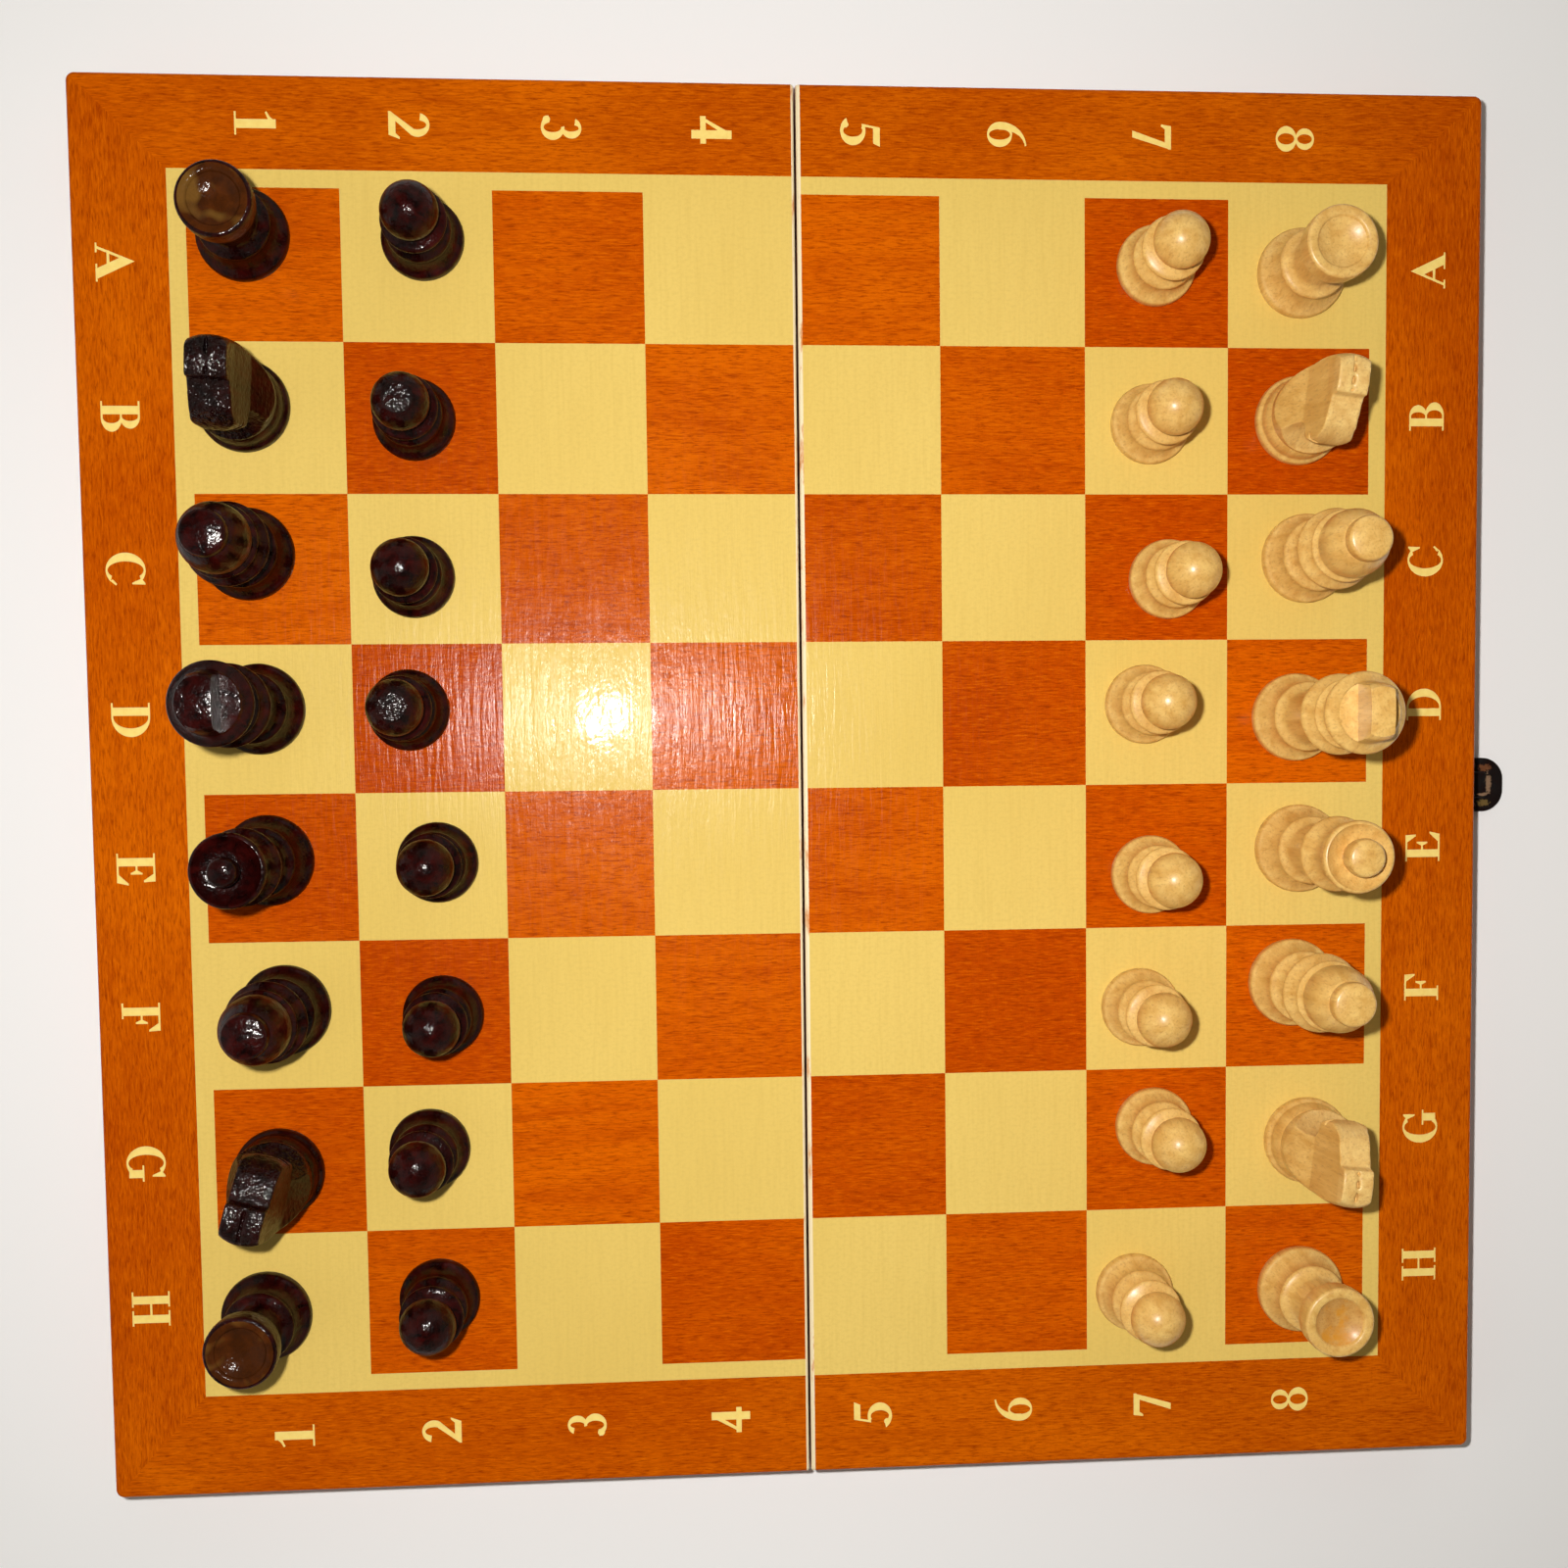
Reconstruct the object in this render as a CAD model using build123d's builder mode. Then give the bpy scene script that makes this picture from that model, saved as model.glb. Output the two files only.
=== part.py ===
from build123d import *
import os
from math import cos, hypot, radians, sin, sqrt

# A folding wooden chess set: a shallow box in two hinged trays that opens flat into a board,
# with a latch at one end and thirty-two turned and carved men standing on it.
# Millimetres, +Z up. X runs across the fold, Y along it. The origin is at the middle of the
# fold seam, on the plane that the open board stands on.

# ---- board ----
BOARD = 340.0  # side of the open board
SEAM_GAP = 0.6  # air between the two halves
SEAM_X = SEAM_GAP / 2
EDGE = BOARD / 2
RAIL_WIDTH = 8.0
RAIL_HEIGHT = 18.0
PANEL_THICKNESS = 3.0
CORNER_RADIUS = 2.0  # upright corners of the box
PANEL_ROUNDING = 1.0  # outer top edges
SEAM_CHAMFER = 0.35
LINING_THICKNESS = 0.6
LINING_MARGIN = 0.4

# ---- fold hinges: the axis lies just under the rims, so they meet when the box is shut ----
KNUCKLE_RADIUS = 1.1
PIVOT_Z = KNUCKLE_RADIUS
RIM_GAP = 0.1
RIM_Z = PIVOT_Z + RIM_GAP
PANEL_Z = RIM_Z + RAIL_HEIGHT
BOARD_TOP = PANEL_Z + PANEL_THICKNESS
HINGE_LENGTH = 25.0
HINGE_Y = {"top": 110.0, "bottom": -110.0}
KNUCKLE_LENGTH = 8.6  # the middle one, which the right leaf holds
KNUCKLE_PLAY = 0.2
LEAF_THICKNESS = 0.8
LEAF_WIDTH = 7.2  # from the axis to the outer edge
LEAF_INNER = 1.4  # where a leaf starts beside the other leaf's knuckles
LEAF_Z = RIM_Z + 0.1
RELIEF_WIDTH = 1.6
RELIEF_DEPTH = 1.5
MORTISE_END = 0.1
PIN_RADIUS = 0.5
BORE_RADIUS = 0.55
PIN_HEAD_RADIUS = 0.8
PIN_HEAD = 0.3
SCREW_X = 4.8
SCREW_SPACING = 16.0
SCREW_HEAD_RADIUS = 1.5
SCREW_SHANK_RADIUS = 0.8
SCREW_HEAD = 0.7
SCREW_LENGTH = 7.0
SLOT_WIDTH = 0.4
SLOT_DEPTH = 0.3

# ---- latch on the right outer rail, catch on the left one ----
LATCH_WIDTH = 14.0
LATCH_PLATE = 0.7
LATCH_TOP = 11.5
LATCH_CORNER = 3.0
LATCH_WEB = 0.4  # the knuckles' root above their axis
LATCH_AXIS_X = EDGE + 1.9
LATCH_AXIS_Z = 1.5
LATCH_KNUCKLE = 6.0  # the middle one, which the hasp holds
HASP_THICKNESS = 0.8
HASP_DROP = 1.1  # the hasp's underside below its axis
HASP_REACH = 13.6
HASP_CORNER = 5.6
HASP_CLEAR = 1.4  # where the hasp starts beside the plate's knuckles
BOSS_AT = 6.4
BOSS_LENGTH = 5.0
BOSS_WIDTH = 6.8
BOSS_WALL = 0.6
BOSS_TOP = 0.5
BOSS_HEIGHT = 1.2
BOSS_ROUNDING = 0.4
BOSS_CORNER = 1.0
HASP_HOLE_RADIUS = 1.15
HASP_HOLE_Y = 5.2
HASP_HOLE_AT = 5.4
LATCH_PIN_RADIUS = 0.45
LATCH_BORE_RADIUS = 0.5
LATCH_SCREW_Z = 8.4
LATCH_SCREW_Y = 4.6
LATCH_SCREW_LENGTH = 5.0
LATCH_HEAD_RADIUS = 1.3
LATCH_HEAD = 0.5
LATCH_HEAD_TAPER = 25
CATCH_RADIUS = 1.5
CATCH_ROSE_RADIUS = 1.8
CATCH_REACH = 2.0
CATCH_ROSE = 0.5
CATCH_NECK_RADIUS = 1.0
CATCH_NECK_END = 1.2
CATCH_ROUNDING = 0.4

# ---- playing field: where the squares lie on each half ----
SQUARE = 35.65
FIELD_TOP = 144.0  # the edge of row A
LEFT_FIELD = -143.5  # the outer edge of column 1
RIGHT_FIELD = 141.75  # the outer edge of column 8

# ---- men: every outline is a list of (radius, height, bulge), from the foot to the tip. ----
# A bulge is how far the stretch leading to that point swells out, and a negative one is hollow.
PAWN_HEAD_RADIUS = 6.55
PAWN_HEAD_Z = 27.9
PAWN_NECK_RADIUS = 3.7
KING_TONGUE = 5.4
KING_SHOULDER = 58.4
SAW_ROOM = 12.0  # well past a man's outline
KNIGHT_HEIGHT = 44.2
KNIGHT_CHEEKS = {"dark": 4.7, "light": 3.8}  # half the head's thickness
EAR_GAP_WIDTH = 0.7
EAR_GAP_DEPTH = 2.2
EAR_GAP_LENGTH = 12.0

# (name, kind, row, column, offset in x, offset in y, heading in degrees from +X)
MEN = [
    ("dark_rook_a", "rook", "A", 1, -4.5, 6.5, 0),
    ("dark_knight_b", "knight", "B", 1, -5.5, 2.5, -93),
    ("dark_bishop_c", "bishop", "C", 1, -5.5, 3.5, 0),
    ("dark_king", "king", "D", 1, -4.0, 2.5, 0),
    ("dark_queen", "dark_queen", "E", 1, -3.0, 2.0, 0),
    ("dark_bishop_f", "bishop", "F", 1, 0.0, 1.5, 0),
    ("dark_knight_g", "knight", "G", 1, -2.5, -2.5, 75),
    ("dark_rook_h", "rook", "H", 1, -6.5, -2.0, 0),
    ("dark_pawn_a", "pawn", "A", 2, 1.5, 6.0, 0),
    ("dark_pawn_b", "pawn", "B", 2, -1.5, -0.5, 0),
    ("dark_pawn_c", "pawn", "C", 2, -2.5, -2.0, 0),
    ("dark_pawn_d", "pawn", "D", 2, -4.5, 2.0, 0),
    ("dark_pawn_e", "pawn", "E", 2, 1.5, 1.0, 0),
    ("dark_pawn_f", "pawn", "F", 2, 2.0, -0.5, 0),
    ("dark_pawn_g", "pawn", "G", 2, -2.0, 2.5, 0),
    ("dark_pawn_h", "pawn", "H", 2, -0.5, 1.0, 0),
    ("light_pawn_a", "pawn", "A", 7, -0.5, 1.5, 0),
    ("light_pawn_b", "pawn", "B", 7, -2.0, -1.0, 0),
    ("light_pawn_c", "pawn", "C", 7, 2.5, -3.0, 0),
    ("light_pawn_d", "pawn", "D", 7, -3.5, 2.0, 0),
    ("light_pawn_e", "pawn", "E", 7, -2.0, -4.5, 0),
    ("light_pawn_f", "pawn", "F", 7, -4.5, -2.0, 0),
    ("light_pawn_g", "pawn", "G", 7, -1.0, 3.5, 0),
    ("light_pawn_h", "pawn", "H", 7, -6.0, -3.0, 0),
    ("light_rook_a", "rook", "A", 8, 0.0, 0.0, 0),
    ("light_knight_b", "knight", "B", 8, -0.5, 0.0, -97),
    ("light_bishop_c", "bishop", "C", 8, 1.5, 2.0, 0),
    ("light_king", "king", "D", 8, -1.0, -1.5, 0),
    ("light_queen", "queen", "E", 8, 0.0, 1.5, 0),
    ("light_bishop_f", "bishop", "F", 8, -1.5, 3.5, 0),
    ("light_knight_g", "knight", "G", 8, 2.5, -1.0, 84),
    ("light_rook_h", "rook", "H", 8, 1.0, -3.5, 0),
]


def save(piece, name):
    """Label a finished piece and write its STEP file."""
    piece.part.label = name
    export_step(piece.part, f"parts/{name}.step")


def box_between(low, high, mode=Mode.ADD):
    """A box given by its two corners, in the running part."""
    size = [b - a for a, b in zip(low, high)]
    centre = [(a + b) / 2 for a, b in zip(low, high)]
    with Locations(tuple(centre)):
        Box(*size, mode=mode)


def bar(start, end, radius, mode=Mode.ADD):
    """A round bar from one point to another, in the running part."""
    run = Vector(*end) - Vector(*start)
    with BuildSketch(Plane(origin=start, z_dir=run.normalized())) as section:
        Circle(radius)
    extrude(section.sketch, amount=run.length, mode=mode)


# ======================= board =======================


def half_outline(side):
    """Outline of one half, with its two outer corners rounded. side is -1 left, 1 right."""
    width = EDGE - SEAM_X
    with BuildSketch() as outline:
        with Locations((side * (SEAM_X + width / 2), 0)):
            Rectangle(width, BOARD)
        corners = outline.vertices().sort_by(Axis.X)
        fillet(corners[:2] if side < 0 else corners[-2:], CORNER_RADIUS)
    return outline.sketch


def rail_corners(side, which):
    """Corners of a rail's mitred outline."""
    outer = side * EDGE
    seam = side * SEAM_X
    outer_in = side * (EDGE - RAIL_WIDTH)
    seam_in = side * (SEAM_X + RAIL_WIDTH)
    y_in = EDGE - RAIL_WIDTH
    if which == "outer":
        return [(outer, -EDGE), (outer, EDGE), (outer_in, y_in), (outer_in, -y_in)]
    if which == "seam":
        return [(seam, -EDGE), (seam, EDGE), (seam_in, y_in), (seam_in, -y_in)]
    end = 1 if which == "top" else -1
    return [(outer, end * EDGE), (seam, end * EDGE), (seam_in, end * y_in), (outer_in, end * y_in)]


def cut_hinge_mortises(side):
    """Beds for the hinge leaves, hollows round the knuckles and pilot holes for the screws."""
    for y in HINGE_Y.values():
        half = HINGE_LENGTH / 2 + MORTISE_END
        x_near, x_far = sorted((side * SEAM_X, side * (LEAF_WIDTH + MORTISE_END)))
        top = LEAF_Z + LEAF_THICKNESS
        box_between((x_near, y - half, RIM_Z), (x_far, y + half, top), Mode.SUBTRACT)
        half += PIN_HEAD + MORTISE_END
        x_near, x_far = sorted((side * SEAM_X, side * RELIEF_WIDTH))
        top = RIM_Z + RELIEF_DEPTH
        box_between((x_near, y - half, RIM_Z), (x_far, y + half, top), Mode.SUBTRACT)
        for step in (-1, 1):
            hole = (side * SCREW_X, y + step * SCREW_SPACING / 2)
            bar((*hole, RIM_Z), (*hole, LEAF_Z + SCREW_LENGTH), SCREW_SHANK_RADIUS, Mode.SUBTRACT)


def cut_latch_holes(side):
    """Pilot holes in an outer rail: two for the latch plate, one for the catch."""
    if side > 0:
        for y in (-LATCH_SCREW_Y, LATCH_SCREW_Y):
            start = (EDGE - SCREW_LENGTH + 2, y, LATCH_SCREW_Z)
            bar(start, (EDGE, y, LATCH_SCREW_Z), SCREW_SHANK_RADIUS, Mode.SUBTRACT)
    else:
        start = (-EDGE + SCREW_LENGTH - 2, 0, catch_height())
        bar(start, (-EDGE, 0, catch_height()), SCREW_SHANK_RADIUS, Mode.SUBTRACT)


def catch_height():
    """Height of the catch, which the hasp's boss reaches when the box is shut."""
    return 2 * PIVOT_Z - (LATCH_AXIS_Z - BOSS_AT)


def make_rail(side, half, which):
    """One mitred rail of a tray."""
    with BuildPart() as rail:
        with BuildSketch(Plane.XY.offset(RIM_Z)):
            add(half_outline(side))
            with BuildLine():
                Polyline(*rail_corners(side, which), close=True)
            make_face(mode=Mode.INTERSECT)
        extrude(amount=RAIL_HEIGHT)
        if which == "seam":
            cut_hinge_mortises(side)
        if which == "outer":
            cut_latch_holes(side)
    save(rail, f"{half}_{which}_rail")


def make_panel(side, half):
    """The playing panel of one half, rounded outside and chamfered along the seam."""
    with BuildPart() as panel:
        with BuildSketch(Plane.XY.offset(PANEL_Z)):
            add(half_outline(side))
        extrude(amount=PANEL_THICKNESS)
        top_edges = panel.faces().sort_by(Axis.Z)[-1].edges().sort_by(Axis.X)
        seam_edge = top_edges[-1] if side < 0 else top_edges[0]
        outer_edges = top_edges[:-1] if side < 0 else top_edges[1:]
        fillet(outer_edges, PANEL_ROUNDING)
        seam_edges = panel.edges().filter_by(Axis.Y).filter_by_position(
            Axis.X, seam_edge.center().X - 0.01, seam_edge.center().X + 0.01
        )
        chamfer(seam_edges.sort_by(Axis.Z)[-1], SEAM_CHAMFER)
    save(panel, f"{half}_playing_panel")


def make_lining(side, half):
    """The thin felt sheet glued under the panel, inside the tray."""
    inner = sorted(
        (
            side * (SEAM_X + RAIL_WIDTH + LINING_MARGIN),
            side * (EDGE - RAIL_WIDTH - LINING_MARGIN),
        )
    )
    reach = EDGE - RAIL_WIDTH - LINING_MARGIN
    with BuildPart() as lining:
        box_between((inner[0], -reach, PANEL_Z - LINING_THICKNESS), (inner[1], reach, PANEL_Z))
    save(lining, f"{half}_lining")


# ======================= fold hinges =======================


def knuckle_spans(side):
    """Stretches of the barrel, along Y from the hinge's middle, that one leaf holds."""
    inner = KNUCKLE_LENGTH / 2
    outer = HINGE_LENGTH / 2
    if side > 0:
        return [(-inner, inner)]
    return [(-outer, -inner - KNUCKLE_PLAY), (inner + KNUCKLE_PLAY, outer)]


def countersink(x, y, mode):
    """The cone of a countersunk screw head whose flat side is just inside the leaf's face."""
    with Locations((x, y, LEAF_Z + SCREW_HEAD / 2)):
        Cone(SCREW_HEAD_RADIUS, SCREW_SHANK_RADIUS, SCREW_HEAD, mode=mode)


def screw_places(side):
    """Places of the hinge screws of one half."""
    return [
        (side * SCREW_X, y + step * SCREW_SPACING / 2) for y in HINGE_Y.values() for step in (-1, 1)
    ]


def make_leaf(side, half, place):
    """One hinge leaf with its knuckles."""
    y = HINGE_Y[place]
    with BuildPart() as leaf:
        near, far = sorted((side * LEAF_INNER, side * LEAF_WIDTH))
        top = LEAF_Z + LEAF_THICKNESS
        box_between(
            (near, y - HINGE_LENGTH / 2, LEAF_Z), (far, y + HINGE_LENGTH / 2, top)
        )
        near, far = sorted((0, side * LEAF_INNER))
        for start, end in knuckle_spans(side):
            box_between((near, y + start, LEAF_Z), (far, y + end, top))
            bar((0, y + start, PIVOT_Z), (0, y + end, PIVOT_Z), KNUCKLE_RADIUS)
        reach = HINGE_LENGTH / 2 + 1
        bore = BORE_RADIUS if side > 0 else PIN_RADIUS
        bar((0, y - reach, PIVOT_Z), (0, y + reach, PIVOT_Z), bore, Mode.SUBTRACT)
        for hole_x, hole_y in screw_places(side):
            if abs(hole_y - y) < HINGE_LENGTH:
                countersink(hole_x, hole_y, Mode.SUBTRACT)
                low = (hole_x, hole_y, LEAF_Z)
                bar(low, (hole_x, hole_y, top), SCREW_SHANK_RADIUS, Mode.SUBTRACT)
    save(leaf, f"{place}_hinge_{half}_leaf")


def make_hinge_pin(place):
    """A hinge pin with a small head on each end."""
    y = HINGE_Y[place]
    reach = HINGE_LENGTH / 2
    with BuildPart() as pin:
        bar((0, y - reach, PIVOT_Z), (0, y + reach, PIVOT_Z), PIN_RADIUS)
        for end in (-1, 1):
            start = (0, y + end * reach, PIVOT_Z)
            bar(start, (0, y + end * (reach + PIN_HEAD), PIVOT_Z), PIN_HEAD_RADIUS)
    save(pin, f"{place}_hinge_pin")


def make_hinge_screws(side, half):
    """The countersunk slotted screws of one half."""
    reach = SCREW_HEAD_RADIUS * 0.8
    with BuildPart() as screws:
        for x, y in screw_places(side):
            countersink(x, y, Mode.ADD)
            low = (x, y, LEAF_Z + SCREW_HEAD)
            bar(low, (x, y, LEAF_Z + SCREW_LENGTH), SCREW_SHANK_RADIUS)
            slot_end = (x + SLOT_WIDTH / 2, y + reach, LEAF_Z + SLOT_DEPTH)
            box_between((x - SLOT_WIDTH / 2, y - reach, LEAF_Z), slot_end, Mode.SUBTRACT)
    save(screws, f"hinge_screws_{half}")


# ======================= latch =======================


def make_latch_plate():
    """The fixed leaf of the latch, on the right outer rail, with its two outer knuckles."""
    inner = LATCH_KNUCKLE / 2 + KNUCKLE_PLAY
    outer = LATCH_WIDTH / 2
    web_low = LATCH_AXIS_Z + LATCH_WEB
    web_top = LATCH_AXIS_Z + KNUCKLE_RADIUS
    with BuildPart() as plate:
        with BuildSketch(Plane.YZ.offset(EDGE)) as face:
            with Locations((0, (LATCH_TOP + LATCH_AXIS_Z) / 2)):
                Rectangle(LATCH_WIDTH, LATCH_TOP - LATCH_AXIS_Z)
            fillet(face.vertices().sort_by(Axis.Y)[-2:], LATCH_CORNER)
            with Locations((-LATCH_SCREW_Y, LATCH_SCREW_Z), (LATCH_SCREW_Y, LATCH_SCREW_Z)):
                Circle(SCREW_SHANK_RADIUS, mode=Mode.SUBTRACT)
        extrude(amount=LATCH_PLATE)
        for low, high in ((-outer, -inner), (inner, outer)):
            box_between((EDGE, low, web_low), (LATCH_AXIS_X, high, web_top))
            bar(
                (LATCH_AXIS_X, low, LATCH_AXIS_Z), (LATCH_AXIS_X, high, LATCH_AXIS_Z), KNUCKLE_RADIUS
            )
        reach = outer + 1
        bar(
            (LATCH_AXIS_X, -reach, LATCH_AXIS_Z),
            (LATCH_AXIS_X, reach, LATCH_AXIS_Z),
            LATCH_PIN_RADIUS,
            Mode.SUBTRACT,
        )
    save(plate, "latch_plate")


def make_hasp():
    """The swinging hasp: a D-shaped flap with a hollow boss that snaps over the catch."""
    bottom = LATCH_AXIS_Z - HASP_DROP
    top = bottom + HASP_THICKNESS
    knuckle = LATCH_KNUCKLE / 2
    start = LATCH_AXIS_X + HASP_CLEAR
    tip = LATCH_AXIS_X + HASP_REACH
    boss_x = LATCH_AXIS_X + BOSS_AT
    with BuildPart() as hasp:
        with BuildSketch(Plane.XY.offset(bottom)) as flap:
            with Locations(((start + tip) / 2, 0)):
                Rectangle(tip - start, LATCH_WIDTH)
            fillet(flap.vertices().sort_by(Axis.X)[-2:], HASP_CORNER)
            hole_x = LATCH_AXIS_X + HASP_HOLE_AT
            with Locations((hole_x, -HASP_HOLE_Y), (hole_x, HASP_HOLE_Y)):
                Circle(HASP_HOLE_RADIUS, mode=Mode.SUBTRACT)
        extrude(amount=HASP_THICKNESS)
        with BuildSketch(Plane.XY.offset(top)):
            with Locations((boss_x, 0)):
                RectangleRounded(BOSS_LENGTH, BOSS_WIDTH, BOSS_CORNER)
        extrude(amount=BOSS_HEIGHT)
        fillet(hasp.faces().sort_by(Axis.Z)[-1].edges(), BOSS_ROUNDING)
        box_between((LATCH_AXIS_X, -knuckle, bottom), (start, knuckle, top))
        axis = (LATCH_AXIS_X, -knuckle, LATCH_AXIS_Z), (LATCH_AXIS_X, knuckle, LATCH_AXIS_Z)
        bar(*axis, KNUCKLE_RADIUS)
        bar(*axis, LATCH_BORE_RADIUS, Mode.SUBTRACT)
        pocket_x = BOSS_LENGTH / 2 - BOSS_WALL
        pocket_y = BOSS_WIDTH / 2 - BOSS_WALL
        box_between(
            (boss_x - pocket_x, -pocket_y, bottom),
            (boss_x + pocket_x, pocket_y, top + BOSS_HEIGHT - BOSS_TOP),
            Mode.SUBTRACT,
        )
    save(hasp, "latch_hasp")


def make_latch_pin():
    """The pin of the hasp."""
    reach = LATCH_WIDTH / 2
    with BuildPart() as pin:
        bar(
            (LATCH_AXIS_X, -reach, LATCH_AXIS_Z), (LATCH_AXIS_X, reach, LATCH_AXIS_Z), LATCH_PIN_RADIUS
        )
    save(pin, "latch_pin")


def make_latch_screws():
    """Two round-headed screws that hold the latch plate."""
    face = EDGE + LATCH_PLATE
    with BuildPart() as screws:
        for y in (-LATCH_SCREW_Y, LATCH_SCREW_Y):
            inner_end = (EDGE - LATCH_SCREW_LENGTH, y, LATCH_SCREW_Z)
            bar(inner_end, (face, y, LATCH_SCREW_Z), SCREW_SHANK_RADIUS)
            with BuildSketch(Plane(origin=(face, y, LATCH_SCREW_Z), z_dir=(1, 0, 0))):
                Circle(LATCH_HEAD_RADIUS)
            extrude(amount=LATCH_HEAD, taper=LATCH_HEAD_TAPER)
    save(screws, "latch_screws")


def make_catch():
    """The catch on the left outer rail: a nail with a rose and a rounded knob."""
    z = catch_height()
    with BuildPart() as catch:
        stretches = [
            (LATCH_SCREW_LENGTH, 0.0, SCREW_SHANK_RADIUS),
            (0.0, -CATCH_ROSE, CATCH_ROSE_RADIUS),
            (-CATCH_ROSE, -CATCH_NECK_END, CATCH_NECK_RADIUS),
            (-CATCH_NECK_END, -CATCH_REACH, CATCH_RADIUS),
        ]
        for start, end, radius in stretches:
            bar((-EDGE + start, 0, z), (-EDGE + end, 0, z), radius)
        fillet(catch.faces().sort_by(Axis.X)[0].edges(), CATCH_ROUNDING)
    save(catch, "catch_knob")


# ======================= men =======================


def foot(radius):
    """Outline of the foot that all the men share: a rounded rim with a small step on top."""
    return [
        (radius - 0.3, 0.0, 0),
        (radius, 0.5, 0.08),
        (radius, 2.9, 0.12),
        (radius - 0.7, 3.6, 0.12),
        (radius - 1.0, 3.9, 0),
    ]


def ball(radius, centre, neck):
    """Outline of a ball that stands on a neck, from the neck to the top."""
    low = centre - sqrt(radius**2 - neck**2)
    stretches = [((neck, low), (radius, centre)), ((radius, centre), (0.0, centre + radius))]
    stations = []
    for start, end in stretches:
        half_chord = hypot(end[0] - start[0], end[1] - start[1]) / 2
        stations.append((*end, radius - sqrt(radius**2 - half_chord**2)))
    return [(neck, low, -0.15), *stations]


def tip(radius, low, top):
    """The last stretch of an outline: a round dome, or a dish when top is lower than low."""
    rise = abs(top - low)
    sphere = (radius**2 + rise**2) / (2 * rise)
    sagitta = sphere - sqrt(sphere**2 - (radius**2 + rise**2) / 4)
    return (0.0, top, sagitta if top > low else -sagitta)


def pawn_outline():
    return [
        *foot(9.6),
        (7.2, 9.4, -0.7),
        (7.0, 11.6, 0.55),
        (5.0, 16.6, -0.7),
        (7.2, 19.2, -0.35),
        (7.1, 20.7, 0.45),
        *ball(PAWN_HEAD_RADIUS, PAWN_HEAD_Z, PAWN_NECK_RADIUS),
    ]


def rook_outline():
    return [
        *foot(10.7),
        (7.9, 11.4, -1.1),
        (7.8, 13.2, 0.55),
        (5.8, 15.2, -0.3),
        (5.5, 23.8, -0.3),
        (7.8, 27.7, -0.7),
        (8.3, 28.6, 0.15),
        (8.4, 33.9, 0.1),
        (7.6, 34.8, 0.25),
        (6.3, 34.8, 0),
        (5.7, 34.1, 0.1),
        tip(5.7, 34.1, 32.6),
    ]


def bishop_outline():
    return [
        *foot(10.8),
        (8.3, 11.3, -1.0),
        (8.2, 13.2, 0.55),
        (6.6, 15.2, -0.3),
        (6.4, 20.5, -0.2),
        (9.1, 25.2, -0.7),
        (9.1, 27.0, 0.45),
        (7.0, 30.8, -0.35),
        (8.1, 33.0, -0.2),
        (8.0, 34.4, 0.4),
        (7.2, 35.4, -0.1),
        (7.8, 38.6, 0.25),
        (5.1, 47.4, 0.9),
        (4.7, 47.7, 0),
        (5.1, 48.3, 0.08),
        (5.1, 50.9, 0.1),
        (4.4, 51.9, 0.2),
        tip(4.4, 51.9, 52.4),
    ]


def queen_outline(knob):
    """A queen with a dished crown; knob is the radius of the flattened knob in its middle."""
    return [
        *foot(10.8),
        (7.8, 11.5, -1.0),
        (7.7, 13.3, 0.55),
        (6.2, 15.5, -0.3),
        (6.0, 25.5, -0.3),
        (8.4, 31.8, -0.9),
        (8.4, 34.0, 0.5),
        (6.6, 37.6, -0.3),
        (6.9, 42.0, -0.2),
        (8.2, 47.4, -0.5),
        (8.3, 48.8, 0.15),
        (7.6, 49.4, 0.15),
        (knob - 0.8, 47.6, -0.5),
        (knob - 0.9, 49.0, 0),
        (knob, 51.6, 0.25),
        (knob - 0.1, 54.0, 0.12),
        (knob - 0.8, 55.1, 0.22),
        tip(knob - 0.8, 55.1, 55.6),
    ]


def king_outline():
    return [
        *foot(10.7),
        (7.9, 11.5, -1.0),
        (7.8, 13.3, 0.55),
        (6.3, 15.6, -0.3),
        (6.1, 28.0, -0.35),
        (8.9, 36.2, -1.1),
        (8.9, 38.4, 0.5),
        (6.9, 41.8, -0.3),
        (7.8, 43.2, -0.1),
        (7.7, 44.4, 0.35),
        (6.7, 46.0, -0.15),
        (7.0, 49.6, -0.15),
        (8.8, 53.8, -0.4),
        (9.0, 56.0, 0.4),
        (7.2, 57.8, -0.1),
        (6.9, 59.0, -0.1),
        (6.4, 63.0, 0.1),
        (5.5, 67.2, 0.4),
        tip(5.5, 67.2, 68.0),
    ]


def knight_blank():
    return [
        *foot(10.7),
        (8.6, 8.8, 0.5),
        (8.5, 9.8, -0.15),
        (9.4, 11.0, 0.2),
        (9.9, 26.0, 0.3),
        (9.2, 40.0, 0.5),
        (7.0, KNIGHT_HEIGHT, 0.4),
        (0.0, KNIGHT_HEIGHT + 0.3, 0),
    ]


def draw_outline(stations):
    """Draw a turned outline in the running sketch and close it along the axis."""
    with BuildLine() as outline:
        start = (0.0, 0.0)
        for radius, height, bulge in stations:
            end = (radius, height)
            if bulge:
                SagittaArc(start, end, -bulge)
            else:
                Line(start, end)
            start = end
        Line(start, (0.0, 0.0))
    make_face(outline.edges())


def upright(x, y, heading=0.0):
    """An upright plane through a man's axis, standing on the board."""
    turn = radians(heading)
    return Plane(
        origin=(x, y, BOARD_TOP), x_dir=(cos(turn), sin(turn), 0), z_dir=(sin(turn), -cos(turn), 0)
    )


def turn_blank(stations, x, y):
    """Revolve an outline round a man's axis, in the running part."""
    with BuildSketch(upright(x, y)) as profile:
        draw_outline(stations)
    revolve(profile.sketch, axis=Axis((x, y, 0), (0, 0, 1)))


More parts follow.
